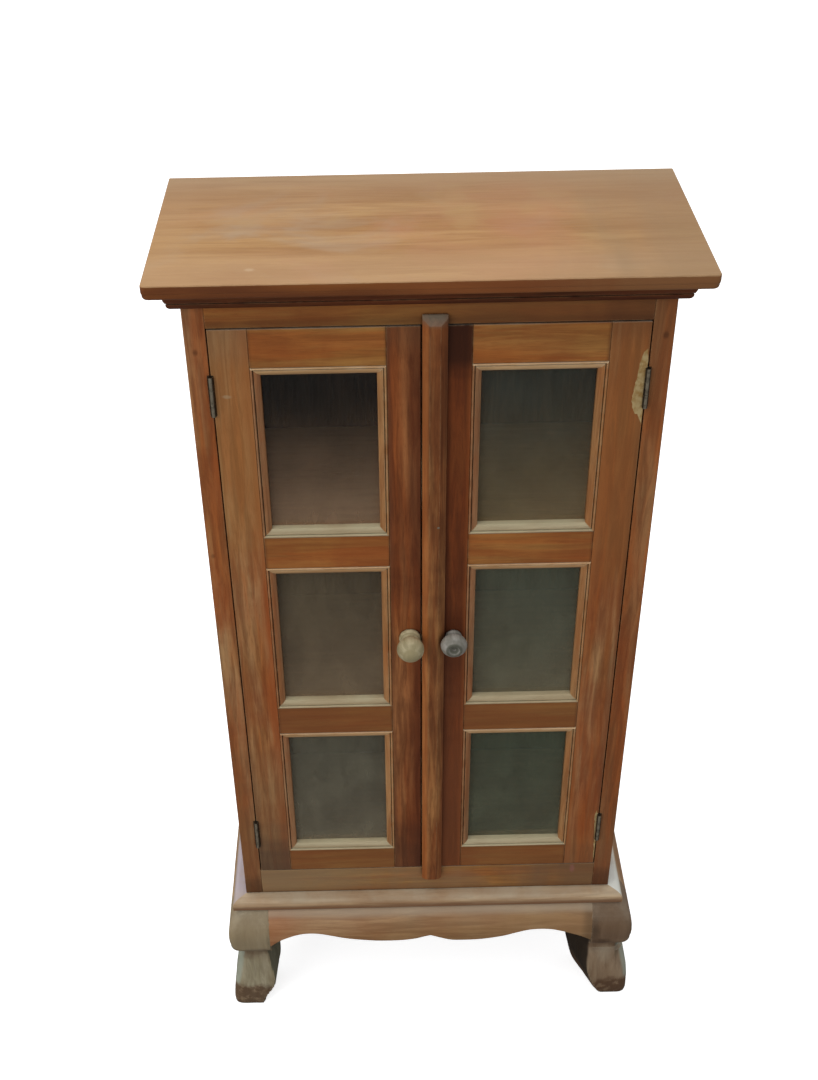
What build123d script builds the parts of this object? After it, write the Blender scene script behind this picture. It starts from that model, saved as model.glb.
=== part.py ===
from build123d import *
import os
from math import sqrt

# A small glazed display cabinet on a cabriole stand, in millimetres.
# X runs across the front, Y from the front (-Y) to the back, Z up from the floor.
# While it is built, Y is measured from the front face of the case; save() then moves every piece
# back by FRONT_Y, so that the origin lies on the floor below the middle of the overall box. Across,
# it lies below the middle of the case; the stand under it reaches STAND_SHIFT further to the right.

# ---- driving dimensions ------------------------------------------------------------------------
CASE_WIDTH = 400.0
CASE_DEPTH = 190.0
CASE_HEIGHT = 739.0
BASE_HEIGHT = 162.0
BOARD = 18.0                 # sides, rails and door frames
DOOR_PROUD = 0.4             # door faces stand this far in front of the case
KNOB_REACH = 30.0            # left knob, from the door's face to its tip

TOP_THICKNESS = 10.0
TOP_OVERHANG = 26.0
TOP_CORNER_RADIUS = 4.0
TOP_ARRIS = 0.8
TOP_UNDER_RADIUS = 4.0

CORNICE_HEIGHT = 17.0
CORNICE_FOOT = 9.0           # how far its lower bead stands out
CORNICE_REACH = 12.5         # how far its upper lip stands out
CORNICE_BEAD = 4.4           # height of the lower bead
CORNICE_BEAD_BULGE = 1.4
CORNICE_QUIRK = 0.6          # the step behind the bead
CORNICE_LIP = 2.2            # height of the upper lip
CORNICE_COVE = (8.4, 10.8)   # a point that the cove passes through, as (reach, height)

TOP_RAIL_HEIGHT = 41.3
BOTTOM_RAIL_HEIGHT = 36.5
SHELF_THICKNESS = 10.0
FLOOR_THICKNESS = 12.0
FLOOR_TOP = 28.0             # heights of the boards' upper faces above the case's underside
LOWER_SHELF_TOP = 272.0
UPPER_SHELF_TOP = 487.0
HOUSING_DEPTH = 5.0          # grooves in the sides that hold the shelves
BACK_THICKNESS = 4.0
BACK_REBATE = 8.0
TENON_LENGTH = 10.0
TENON_THICKNESS = 6.0
TENON_SHOULDER = 4.0

DOOR_GAP = 1.0
MEETING_X = -6.0             # the right door's closing edge; the left door stops DOOR_GAP short of it
CLOSING_BEVEL = 1.0          # a closing edge is planed back this much over the door's thickness
OUTER_STILE = 32.5
DOOR_TOP_RAIL = 36.0
DOOR_MIDDLE_RAIL = 35.0
PANE_WIDTH = 113.0
PANE_HEIGHT = 174.0
REBATE_STEP = 5.0            # the lip behind the glass
REBATE_DEPTH = 10.4          # from the door's face to that lip
GLASS_THICKNESS = 2.0
GLASS_CLEARANCE = 0.5
BEAD_WIDTH = 8.0
BEAD_PROUD = 1.0
BEAD_SLOPE = 3.4
BEAD_LIP = 1.0               # chamfer along its outer lip
BEAD_EDGE = 0.8              # chamfer along its inner edge
ARRIS = 0.5                  # softened front edges of the joinery

STRIP_WIDTH = 21.0
STRIP_THICKNESS = 9.0
STRIP_FLAT = 9.0             # width of its front flat, between the two chamfers
STRIP_SIDE = 4.0             # height of its square sides
STRIP_BOTTOM = 24.0
STRIP_TOP = 707.5
STRIP_END_BEVEL = 7.0
STRIP_FOOT_BEVEL = 2.5

HINGE_HEIGHT = 38.0
HINGE_LOWER = 96.0           # middles of the hinges above the case's underside
HINGE_UPPER = 635.0
LEAF_THICKNESS = 1.0
LEAF_WIDTH = 13.0
LEAF_PLAY = 0.2              # between the two leaves of a closed hinge
BARREL_RADIUS = 2.3
BARREL_PROUD = 1.3           # how far the barrel's axis stands in front of the door's face
PIN_RADIUS = 1.1
PIN_CLEARANCE = 0.05
BARREL_RECESS = 2.7          # half the width of the notch that the barrel lies in
RECESS_PLAY = 0.6            # the notch runs this far past the barrel's ends
KNUCKLE_GAP = 0.2

KNOB_HEIGHT = 366.5          # above the case's underside
LEFT_KNOB_X = -17.5
RIGHT_KNOB_X = 23.6
RIGHT_KNOB_REACH = 22.0
LEFT_HEAD_RADIUS = 12.8
RIGHT_HEAD_RADIUS = 12.5
LEFT_COLLAR_RADIUS = 10.2
RIGHT_COLLAR_RADIUS = 8.2
COLLAR_SHARE = 0.15          # of a knob's reach
# Neck, swelling, rim and face of a knob, as shares of (its head's radius, its reach).
KNOB_HEAD = [(0.57, 0.25), (1.0, 0.47), (1.0, 0.7), (0.55, 1.0)]

NOSING_THICKNESS = 14.0
NOSING_REACH = 15.0
NOSING_INSET = 30.0          # how far the base frame runs in under the case
LEG_INSET = 22.0             # how far a leg runs in from the case's corner
REAR_LEG_INSET = 45.0
STAND_SHIFT = 3.0            # how far the legs and aprons stand to the right under the case
APRON_INNER = -2.0           # the aprons' inner faces, measured outwards from the case's face
APRON_TENON = 9.0
APRON_TENON_FACE = 1.0       # that tenon's inner face, measured the same way
APRON_TENON_THICKNESS = 7.0
APRON_TENON_SPAN = (112.0, 142.0)
BACK_APRON_THICKNESS = 18.0
BACK_APRON_BOTTOM = 108.0

# ---- derived values ----------------------------------------------------------------------------
HALF = CASE_WIDTH / 2
INNER = HALF - BOARD
FRONT_Y = (DOOR_PROUD + KNOB_REACH - CASE_DEPTH) / 2
CASE_TOP = BASE_HEIGHT + CASE_HEIGHT
STAND_TOP = BASE_HEIGHT - NOSING_THICKNESS
DOOR_FACE = -DOOR_PROUD
DOOR_BACK = DOOR_FACE + BOARD
DOOR_BOTTOM = BASE_HEIGHT + BOTTOM_RAIL_HEIGHT + DOOR_GAP
DOOR_TOP = CASE_TOP - TOP_RAIL_HEIGHT - DOOR_GAP
DOOR_OUTER = INNER - DOOR_GAP
PANE_OUTER = DOOR_OUTER - OUTER_STILE
PANE_INNER = PANE_OUTER - PANE_WIDTH
LIP_FACE = DOOR_FACE + REBATE_DEPTH
GLASS_FACE = LIP_FACE - GLASS_THICKNESS
HINGE_X = INNER - DOOR_GAP / 2
HINGE_Y = DOOR_FACE - BARREL_PROUD
HINGE_HEIGHTS = {"lower": BASE_HEIGHT + HINGE_LOWER, "upper": BASE_HEIGHT + HINGE_UPPER}
SHELF_FRONT = DOOR_BACK + DOOR_GAP
BACK_FACE = CASE_DEPTH - BACK_THICKNESS
TOP_RAIL_SPAN = (CASE_TOP - TOP_RAIL_HEIGHT, CASE_TOP)
BOTTOM_RAIL_SPAN = (BASE_HEIGHT, BASE_HEIGHT + BOTTOM_RAIL_HEIGHT)
FLOOR_SPAN = (BASE_HEIGHT + FLOOR_TOP - FLOOR_THICKNESS, BASE_HEIGHT + FLOOR_TOP)
LOWER_SHELF_SPAN = (BASE_HEIGHT + LOWER_SHELF_TOP - SHELF_THICKNESS, BASE_HEIGHT + LOWER_SHELF_TOP)
UPPER_SHELF_SPAN = (BASE_HEIGHT + UPPER_SHELF_TOP - SHELF_THICKNESS, BASE_HEIGHT + UPPER_SHELF_TOP)
PANE_TOPS = {
    "upper": DOOR_TOP - DOOR_TOP_RAIL,
    "middle": DOOR_TOP - DOOR_TOP_RAIL - PANE_HEIGHT - DOOR_MIDDLE_RAIL,
    "lower": DOOR_TOP - DOOR_TOP_RAIL - 2 * (PANE_HEIGHT + DOOR_MIDDLE_RAIL),
}
DOOR_RAILS = {
    "top_rail": (PANE_TOPS["upper"], DOOR_TOP),
    "upper_middle_rail": (PANE_TOPS["middle"], PANE_TOPS["upper"] - PANE_HEIGHT),
    "lower_middle_rail": (PANE_TOPS["lower"], PANE_TOPS["middle"] - PANE_HEIGHT),
    "bottom_rail": (DOOR_BOTTOM, PANE_TOPS["lower"] - PANE_HEIGHT),
}

# The stand's outer face, from the top down, as (reach past the case's face, height above the floor).
# Each row of three is one arc: its start, a point that it passes through, and its end.
KNEE = [(12.0, STAND_TOP), (24.4, 122.0), (24.0, 103.0)]
LIP = [(24.0, 103.0), (20.5, 93.1), (14.6, 84.5)]
SHIN = [(14.6, 84.5), (19.4, 60.0), (25.6, 28.0)]
TOE = [(25.6, 28.0), (27.0, 14.0), (26.0, 3.0)]
SOLE_REACH = 23.0
# The shins' inner faces, as (how far they run in from the case's corner, height). The legs are carved
# by eye, and the right front one is the heaviest.
SHIN_INNER = {
    "left": [(LEG_INSET, 86.0), (28.5, 50.0), (25.0, 6.0)],
    "right": [(LEG_INSET, 86.0), (37.0, 54.0), (28.0, 6.0)],
    "rear": [(LEG_INSET, 86.0), (30.5, 52.0), (26.0, 6.0)],
}
SOLE_INSET = 23.5
CORNER_EASE = 4.2            # how much the carver takes off a leg's outer corner
# The waste beside a front toe at the floor, as (outwards, forwards) from the case's corner. Up to half
# of the shin the cut leans inwards, so the leg widens above its toe, and from there it is upright.
TOE_CUT = {
    "left": [(-2.8, 40.0), (-31.5, 40.0), (-31.5, -52.0)],
    "right": [(4.0, 40.0), (-31.5, 40.0), (-31.5, -31.0)],
}
TOE_CUT_LEAN = {"left": 8.0, "right": 15.0}
TOE_CUT_HEIGHT = 50.0
REAR_TOE_CUT = 14.0
# Half an apron's lower edge, as (share of its half length, height): three arcs from the middle cusp,
# by the belly, to the crest beside the leg, and a short straight end.
SCALLOP = [
    (0.0, 113.0),
    (0.10, 106.8),
    (0.24, 104.8),
    (0.34, 105.7),
    (0.46, 111.0),
    (0.72, 119.4),
    (0.93, 107.5),
    (1.0, 93.0),
]
SAW_REACH = 60.0             # past anything that is sawn
SAW_PLAY = 1.0               # how far outside a piece a cut starts

pieces = {}


def save(name, piece, shift=0.0):
    """Move a finished piece into the object's own frame and keep it for export."""
    piece = Pos(shift, FRONT_Y, 0) * piece
    pieces[name] = piece.solids()[0] if len(piece.solids()) == 1 else Compound(list(piece.solids()))


def save_pair(left_name, right_name, right_piece, shift=0.0):
    """Keep a right-hand piece and its mirror image."""
    save(right_name, right_piece, shift)
    save(left_name, mirror(right_piece, about=Plane.YZ), shift)


def board(x, y, z):
    """A sawn board between pairs of planes."""
    size = (x[1] - x[0], y[1] - y[0], z[1] - z[0])
    middle = ((x[0] + x[1]) / 2, (y[0] + y[1]) / 2, (z[0] + z[1]) / 2)
    return Pos(*middle) * Box(*size)


def soften_front(piece):
    """Chamfer the edges around the flat front face of a board."""
    face = piece.faces().filter_by(Axis.Y).sort_by(Axis.Y)[0]
    return chamfer(face.outer_wire().edges(), ARRIS)


def level_prism(points, low, high):
    """A prism with a level outline, for cutting mitres in plan."""
    return extrude(Plane.XY.offset(low) * make_face(Polyline(*points, close=True)), high - low)


# ---- top and cornice ---------------------------------------------------------------------------
def top_board():
    reach = HALF + TOP_OVERHANG
    top = board((-reach, reach), (-TOP_OVERHANG, CASE_DEPTH), (CASE_TOP, CASE_TOP + TOP_THICKNESS))
    top = fillet(top.edges().filter_by(Axis.Z).sort_by(Axis.Y)[:2], TOP_CORNER_RADIUS)
    back = CASE_DEPTH - 0.1
    under = top.faces().sort_by(Axis.Z)[0].edges().filter_by(lambda e: e.center().Y < back)
    top = fillet(under, TOP_UNDER_RADIUS)
    upper = top.faces().sort_by(Axis.Z)[-1].edges().filter_by(lambda e: e.center().Y < back)
    return chamfer(upper, TOP_ARRIS)


def cornice_section():
    """Lower bead, quirk and cove, as (reach, height) from the case's face."""
    bead = CORNICE_FOOT - CORNICE_BEAD_BULGE
    neck = bead - CORNICE_QUIRK
    cove_top = CORNICE_HEIGHT - CORNICE_LIP
    outline = [
        Line((0, 0), (bead, 0)),
        ThreePointArc((bead, 0), (CORNICE_FOOT, CORNICE_BEAD / 2), (bead, CORNICE_BEAD)),
        Line((bead, CORNICE_BEAD), (neck, CORNICE_BEAD)),
        ThreePointArc((neck, CORNICE_BEAD), CORNICE_COVE, (CORNICE_REACH, cove_top)),
        Line((CORNICE_REACH, cove_top), (CORNICE_REACH, CORNICE_HEIGHT)),
        Line((CORNICE_REACH, CORNICE_HEIGHT), (0, CORNICE_HEIGHT)),
        Line((0, CORNICE_HEIGHT), (0, 0)),
    ]
    return make_face(outline)


def nosing_section():
    """Half-round nose of the base frame, as (reach, height)."""
    radius = NOSING_THICKNESS / 2
    centre = NOSING_REACH - radius
    outline = [
        Line((-NOSING_INSET, 0), (centre, 0)),
        ThreePointArc((centre, 0), (NOSING_REACH, radius), (centre, NOSING_THICKNESS)),
        Line((centre, NOSING_THICKNESS), (-NOSING_INSET, NOSING_THICKNESS)),
        Line((-NOSING_INSET, NOSING_THICKNESS), (-NOSING_INSET, 0)),
    ]
    return make_face(outline)


def front_run(section, low, height, reach, inset):
    """A moulding along the front, mitred at both ends on the case's corners."""
    long = HALF + reach
    plane = Plane(origin=(long, 0, low), x_dir=(0, -1, 0), z_dir=(-1, 0, 0))
    stick = extrude(plane * section, 2 * long)
    near = HALF - inset
    outline = [(-near, inset), (near, inset), (long, -reach), (-long, -reach)]
    return stick & level_prism(outline, low, low + height)


def side_run(section, low, height, reach, inset):
    """The right-hand return of a moulding, mitred at its front end."""
    plane = Plane(origin=(HALF, CASE_DEPTH, low), x_dir=(1, 0, 0), z_dir=(0, -1, 0))
    stick = extrude(plane * section, CASE_DEPTH + reach)
    near, far = HALF - inset, HALF + reach
    outline = [(near, inset), (far, -reach), (far, CASE_DEPTH), (near, CASE_DEPTH)]
    return stick & level_prism(outline, low, low + height)


def mouldings():
    cornice = (cornice_section(), CASE_TOP - CORNICE_HEIGHT, CORNICE_HEIGHT, CORNICE_REACH, 0)
    save("cornice_front", front_run(*cornice))
    save_pair("cornice_left", "cornice_right", side_run(*cornice))
    nosing = (nosing_section(), STAND_TOP, NOSING_THICKNESS, NOSING_REACH, NOSING_INSET)
    save("base_nosing_front", front_run(*nosing))
    save_pair("base_nosing_left", "base_nosing_right", side_run(*nosing))


# ---- case --------------------------------------------------------------------------------------
def rail_tenon(z):
    """Stub tenon of a case rail, in the right-hand side."""
    front = (BOARD - TENON_THICKNESS) / 2
    z_span = (z[0] + TENON_SHOULDER, z[1] - TENON_SHOULDER)
    return board((INNER, INNER + TENON_LENGTH), (front, front + TENON_THICKNESS), z_span)


def hinge_cuts(leaf_x, z):
    """The shallow mortise for one leaf and the notch for the barrel."""
    half = HINGE_HEIGHT / 2
    mortise = board(leaf_x, (HINGE_Y, HINGE_Y + LEAF_WIDTH), (z - half, z + half))
    x = (HINGE_X - BARREL_RECESS, HINGE_X + BARREL_RECESS)
    y = (HINGE_Y - BARREL_RECESS, HINGE_Y + BARREL_RECESS)
    return mortise + board(x, y, (z - half - RECESS_PLAY, z + half + RECESS_PLAY))


def side_panel():
    """Right-hand side, housed for the shelves, rebated for the back and cut for the hinges."""
    side = board((INNER, HALF), (0, CASE_DEPTH), (BASE_HEIGHT, CASE_TOP))
    side = soften_front(side)
    housing = (INNER, INNER + HOUSING_DEPTH)
    side -= board(housing, (BOARD, BACK_FACE), FLOOR_SPAN)
    for span in (LOWER_SHELF_SPAN, UPPER_SHELF_SPAN):
        side -= board(housing, (SHELF_FRONT, BACK_FACE), span)
    side -= board((INNER, INNER + BACK_REBATE), (BACK_FACE, CASE_DEPTH), (BASE_HEIGHT, CASE_TOP))
    side -= rail_tenon(TOP_RAIL_SPAN) + rail_tenon(BOTTOM_RAIL_SPAN)
    leaf_x = (INNER, HINGE_X + LEAF_PLAY / 2 + LEAF_THICKNESS)
    for z in HINGE_HEIGHTS.values():
        side -= hinge_cuts(leaf_x, z)
    return side


def case_rail(z):
    """A front rail with a stub tenon at each end."""
    rail = soften_front(board((-INNER, INNER), (0, BOARD), z))
    tenon = rail_tenon(z)
    return rail + tenon + mirror(tenon, about=Plane.YZ)


def shelf(z):
    """A shelf that runs into the housings and back to the back panel."""
    reach = INNER + HOUSING_DEPTH
    return soften_front(board((-reach, reach), (SHELF_FRONT, BACK_FACE), z))


def case():
    save("top_board", top_board())
    save_pair("side_left", "side_right", side_panel())
    save("top_rail", case_rail(TOP_RAIL_SPAN))
    save("bottom_rail", case_rail(BOTTOM_RAIL_SPAN))
    reach = INNER + HOUSING_DEPTH
    save("floor_board", board((-reach, reach), (BOARD, BACK_FACE), FLOOR_SPAN))
    save("lower_shelf", shelf(LOWER_SHELF_SPAN))
    save("upper_shelf", shelf(UPPER_SHELF_SPAN))
    back_reach = INNER + BACK_REBATE
    save("back_panel", board((-back_reach, back_reach), (BACK_FACE, CASE_DEPTH), (BASE_HEIGHT, CASE_TOP)))


# ---- stand -------------------------------------------------------------------------------------
def outer_curve(scale=1.0, ease=0.0):
    """The stand's outer face from top to sole; scale and ease fit it to the diagonal."""
    arcs = []
    for curve in (KNEE, LIP, SHIN, TOE):
        arcs.append(ThreePointArc(*[(scale * reach - ease, z) for reach, z in curve]))
    foot = (scale * TOE[-1][0] - ease, TOE[-1][1])
    return [*arcs, Line(foot, (scale * SOLE_REACH - ease, 0))]


def leg_profile(leg, scale=1.0, ease=0.0):
    """The outline that is sawn on both faces of a leg, as (outwards from the corner, height)."""
    curve = outer_curve(scale, ease)
    inner = [(-scale * inset, z) for inset, z in SHIN_INNER[leg]]
    heel = (-scale * SOLE_INSET, 0)
    curve.append(Line(curve[-1] @ 1, heel))
    curve.append(Line(heel, inner[-1]))
    curve.append(ThreePointArc(*inner))
    curve.append(Line(inner[0], (inner[0][0], STAND_TOP)))
    curve.append(Line((inner[0][0], STAND_TOP), (scale * KNEE[0][0] - ease, STAND_TOP)))
    return make_face(curve)


def toe_waste(outline, lean):
    """What is cut away on one inner side of a toe: a leaning prism, and an upright one up to the ankle."""
    face = make_face(Polyline(*[(HALF + u, -v) for u, v in outline], close=True))
    ankle = LIP[-1][1]
    waste = extrude(face, Vector(lean).length, dir=lean)
    return waste + Pos(*lean) * extrude(face, ankle - TOE_CUT_HEIGHT)


def front_leg(hand):
    """A cabriole leg, sawn from the front and from the side, with its corners taken off.

    It is drawn as a right-hand leg, whichever hand it is for.
    """
    across = Pos(HALF, 0, 0) * extrude(Plane.XZ * leg_profile(hand), SAW_REACH, both=True)
    side = Plane(origin=(HALF, 0, 0), x_dir=(0, -1, 0), z_dir=(-1, 0, 0))
    diagonal = Plane(origin=(HALF, 0, 0), x_dir=(1, -1, 0), z_dir=(-1, -1, 0))
    leg = across & extrude(side * leg_profile(hand), SAW_REACH, both=True)
    leg &= extrude(diagonal * leg_profile(hand, sqrt(2), CORNER_EASE), SAW_REACH, both=True)
    lean = TOE_CUT_LEAN[hand]
    leg -= toe_waste(TOE_CUT[hand], (-lean, 0, TOE_CUT_HEIGHT))
    leg -= toe_waste([(v, u) for u, v in TOE_CUT[hand]], (0, lean, TOE_CUT_HEIGHT))
    return leg - front_apron_tenon() - side_apron_tenon(LEG_INSET - APRON_TENON)


def rear_leg():
    """As a front leg, but flat behind, and pointing out to the side only."""
    front = CASE_DEPTH - REAR_LEG_INSET
    ankle = LIP[-1][1]
    leg = Pos(HALF, CASE_DEPTH, 0) * extrude(Plane.XZ * leg_profile("rear"), REAR_LEG_INSET)
    inner = (HALF - SHIN_INNER["rear"][1][0] - SAW_PLAY, 1)
    outer = (HALF + TOE[1][0] + SAW_PLAY, -1)
    for x, way in (inner, outer):
        start = front - SAW_PLAY
        corner = [(x, start), (x + way * REAR_TOE_CUT, start), (x, start + REAR_TOE_CUT)]
        leg -= level_prism(corner, 0, ankle)
    return leg - side_apron_tenon(front) - back_apron_tenon()


def knee_section():
    """The aprons' section, as (reach, height): the knee's swelling front and a flat inner face."""
    under = LIP[-1]
    outline = [
        Line((APRON_INNER, STAND_TOP), KNEE[0]),
        ThreePointArc(*KNEE),
        ThreePointArc(*LIP),
        Line(under, (APRON_INNER, under[1])),
        Line((APRON_INNER, under[1]), (APRON_INNER, STAND_TOP)),
    ]
    return make_face(outline)


def scallop(half_length):
    """Everything above an apron's shaped lower edge, which has two bellies and a cusp between them."""
    outline = []
    for sign in (1, -1):
        points = [(sign * along * half_length, z) for along, z in SCALLOP]
        for first in (0, 2, 4):
            outline.append(ThreePointArc(*points[first:first + 3]))
        outline.append(Line(*points[-2:]))
        outline.append(Line(points[-1], (sign * half_length, STAND_TOP)))
    outline.append(Line((-half_length, STAND_TOP), (half_length, STAND_TOP)))
    return extrude(Plane.XZ * make_face(outline), SAW_REACH, both=True)


def front_apron_tenon():
    start = HALF - LEG_INSET
    outer = -APRON_TENON_FACE - APRON_TENON_THICKNESS
    return board((start, start + APRON_TENON), (outer, -APRON_TENON_FACE), APRON_TENON_SPAN)


def back_apron_tenon():
    start = HALF - LEG_INSET
    face = CASE_DEPTH - (BACK_APRON_THICKNESS - APRON_TENON_THICKNESS) / 2
    return board((start, start + APRON_TENON), (face - APRON_TENON_THICKNESS, face), APRON_TENON_SPAN)


def side_apron_tenon(y):
    start = HALF + APRON_TENON_FACE
    return board((start, start + APRON_TENON_THICKNESS), (y, y + APRON_TENON), APRON_TENON_SPAN)


def front_apron():
    half_length = HALF - LEG_INSET
    plane = Plane(origin=(half_length, 0, 0), x_dir=(0, -1, 0), z_dir=(-1, 0, 0))
    apron = extrude(plane * knee_section(), 2 * half_length) & scallop(half_length)
    tenon = front_apron_tenon()
    return apron + tenon + mirror(tenon, about=Plane.YZ)


def side_apron():
    """The right-hand apron, between the front and rear legs."""
    start, end = LEG_INSET, CASE_DEPTH - REAR_LEG_INSET
    half_length = (end - start) / 2
    plane = Plane(origin=(HALF, end, 0), x_dir=(1, 0, 0), z_dir=(0, -1, 0))
    edge = Pos(HALF, (start + end) / 2, 0) * Rot(0, 0, 90) * scallop(half_length)
    apron = extrude(plane * knee_section(), end - start) & edge
    return apron + side_apron_tenon(start - APRON_TENON) + side_apron_tenon(end)


def back_apron():
    """A plain rail behind, which fills the base frame's open side under the middle of the case."""
    reach = HALF - LEG_INSET
    low = HALF - NOSING_INSET
    y = (CASE_DEPTH - BACK_APRON_THICKNESS, CASE_DEPTH)
    apron = board((-reach, reach), y, (BACK_APRON_BOTTOM, STAND_TOP))
    apron += board((-low - STAND_SHIFT, low - STAND_SHIFT), y, (STAND_TOP, BASE_HEIGHT))
    tenon = back_apron_tenon()
    return apron + tenon + mirror(tenon, about=Plane.YZ)


def stand():
    save("leg_front_left", mirror(front_leg("left"), about=Plane.YZ), STAND_SHIFT)
    save("leg_front_right", front_leg("right"), STAND_SHIFT)
    save_pair("leg_rear_left", "leg_rear_right", rear_leg(), STAND_SHIFT)
    save("apron_front", front_apron(), STAND_SHIFT)
    save_pair("apron_left", "apron_right", side_apron(), STAND_SHIFT)
    save("apron_back", back_apron(), STAND_SHIFT)


# ---- doors, drawn as the right-hand one --------------------------------------------------------
def pane_column(side):
    """The X span of a door's panes; side is 1 for the right door and -1 for the left."""
    return sorted((side * PANE_INNER, side * PANE_OUTER))


def middle_tenon(x, z):
    """A door rail's tenon, which is also its mortise's shape."""
    front = DOOR_FACE + TENON_SHOULDER
    return board(x, (front, front + TENON_THICKNESS), (z[0] + TENON_SHOULDER, z[1] - TENON_SHOULDER))


def tenons(side, end):
    """All the tenons at the outer or the inner edge of a door's panes."""
    edge = side * (PANE_OUTER if end == "outer" else PANE_INNER)
    tip = edge + side * (TENON_LENGTH if end == "outer" else -TENON_LENGTH)
    return [middle_tenon(sorted((edge, tip)), z) for z in DOOR_RAILS.values()]


def outer_stile(side):
    """Hanging stile, with the glazing lip behind and the hinge mortises in its edge."""
    x = sorted((side * PANE_OUTER, side * DOOR_OUTER))
    stile = soften_front(board(x, (DOOR_FACE, DOOR_BACK), (DOOR_BOTTOM, DOOR_TOP)))
    lip_x = sorted((side * (PANE_OUTER - REBATE_STEP), side * PANE_OUTER))
    stile += board(lip_x, (LIP_FACE, DOOR_BACK), (DOOR_BOTTOM, DOOR_TOP))
    for tenon in tenons(side, "outer"):
        stile -= tenon
    cut_x = (HINGE_X - LEAF_PLAY / 2 - LEAF_THICKNESS, INNER)
    for z in HINGE_HEIGHTS.values():
        cut = hinge_cuts(cut_x, z)
        stile -= cut if side == 1 else mirror(cut, about=Plane.YZ)
    return stile


def closing_stile(side):
    """Meeting stile; its closing edge is planed back so that it clears the other door."""
    edge = MEETING_X if side == 1 else MEETING_X - DOOR_GAP
    inner = side * PANE_INNER
    away = edge + side * CLOSING_BEVEL
    outline = [(edge, DOOR_FACE), (inner, DOOR_FACE), (inner, DOOR_BACK), (away, DOOR_BACK)]
    stile = soften_front(level_prism(outline, DOOR_BOTTOM, DOOR_TOP))
    lip_x = sorted((inner, inner + side * REBATE_STEP))
    stile += board(lip_x, (LIP_FACE, DOOR_BACK), (DOOR_BOTTOM, DOOR_TOP))
    for tenon in tenons(side, "inner"):
        stile -= tenon
    return stile


def door_rail(name, side):
    """A rail with long and short shoulders round the stiles' lips, and its own glazing lips."""
    low, high = DOOR_RAILS[name]
    x0, x1 = pane_column(side)
    rail = soften_front(board((x0, x1), (DOOR_FACE, LIP_FACE), (low, high)))
    lip_low = low if name == "bottom_rail" else low - REBATE_STEP
    lip_high = high if name == "top_rail" else high + REBATE_STEP
    rail += board((x0 + REBATE_STEP, x1 - REBATE_STEP), (LIP_FACE, DOOR_BACK), (lip_low, lip_high))
    rail += middle_tenon((x1, x1 + TENON_LENGTH), (low, high))
    rail += middle_tenon((x0 - TENON_LENGTH, x0), (low, high))
    return rail


def pane(side, top):
    """One sheet of glass, resting against the lip."""
    x0, x1 = pane_column(side)
    x = (x0 + GLASS_CLEARANCE, x1 - GLASS_CLEARANCE)
    z = (top - PANE_HEIGHT + GLASS_CLEARANCE, top - GLASS_CLEARANCE)
    return board(x, (GLASS_FACE, LIP_FACE), z)


def bead_strip(length):
    """A glazing bead along X below Z = 0, mitred at both ends, with its back on the glass."""
    front = DOOR_FACE - BEAD_PROUD
    foot = front + BEAD_SLOPE
    outline = [
        (0, GLASS_FACE),
        (0, front + BEAD_LIP),
        (BEAD_LIP, front),
        (0.55 * BEAD_WIDTH, front + 0.4 * BEAD_SLOPE),
        (BEAD_WIDTH - BEAD_EDGE, foot),
        (BEAD_WIDTH, foot + BEAD_EDGE),
        (BEAD_WIDTH, GLASS_FACE),
    ]
    plane = Plane(origin=(0, 0, 0), x_dir=(0, 0, -1), z_dir=(1, 0, 0))
    stick = extrude(plane * make_face(Polyline(*outline, close=True)), length)
    corners = [(0, 0), (length, 0), (length - BEAD_WIDTH, -BEAD_WIDTH), (BEAD_WIDTH, -BEAD_WIDTH)]
    return stick & extrude(Plane.XZ * make_face(Polyline(*corners, close=True)), SAW_REACH, both=True)


def pane_beads(side, top):
    """The four mitred beads round one pane."""
    x0, x1 = pane_column(side)
    bottom = top - PANE_HEIGHT
    level = bead_strip(PANE_WIDTH)
    upright = bead_strip(PANE_HEIGHT)
    strips = [
        Pos(x0, 0, top) * level,
        Pos(x1, 0, bottom) * Rot(0, 180, 0) * level,
        Pos(x1, 0, top) * Rot(0, 90, 0) * upright,
        Pos(x0, 0, bottom) * Rot(0, -90, 0) * upright,
    ]
    return Compound([solid for strip in strips for solid in strip.solids()])


def knob(x, reach, head_radius, collar_radius):
    """A turned mushroom knob on a collar, screwed to the stile from behind."""
    collar = COLLAR_SHARE * reach
    outline = [(0, 0), (collar_radius, 0), (collar_radius, collar), (KNOB_HEAD[0][0] * head_radius, collar)]
    outline += [(share * head_radius, height * reach) for share, height in KNOB_HEAD]
    outline.append((0, reach))
    centre = (x, DOOR_FACE, BASE_HEIGHT + KNOB_HEIGHT)
    plane = Plane(origin=centre, x_dir=(1, 0, 0), z_dir=(0, 0, -1))
    return revolve(plane * make_face(Polyline(*outline, close=True)), Axis(centre, (0, 1, 0)))


def meeting_strip():
    """The chamfered strip on the right door, which laps the case's rails and stops the door."""
    x0, x1 = MEETING_X, MEETING_X + STRIP_WIDTH
    front = DOOR_FACE - STRIP_THICKNESS
    side = DOOR_FACE - STRIP_SIDE
    chamfer_width = (STRIP_WIDTH - STRIP_FLAT) / 2
    outline = [
        (x0, DOOR_FACE),
        (x1, DOOR_FACE),
        (x1, side),
        (x1 - chamfer_width, front),
        (x0 + chamfer_width, front),
        (x0, side),
    ]
    low, high = BASE_HEIGHT + STRIP_BOTTOM, BASE_HEIGHT + STRIP_TOP
    strip = level_prism(outline, low, high)
    ends = strip.edges().filter_by(Axis.X).sort_by(Axis.Y)[:2].sort_by(Axis.Z)
    strip = chamfer(ends[1], STRIP_END_BEVEL, STRIP_END_BEVEL)
    foot = strip.edges().filter_by(Axis.X).sort_by(Axis.Z)[:2].sort_by(Axis.Y)[0]
    return chamfer(foot, STRIP_FOOT_BEVEL)


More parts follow.
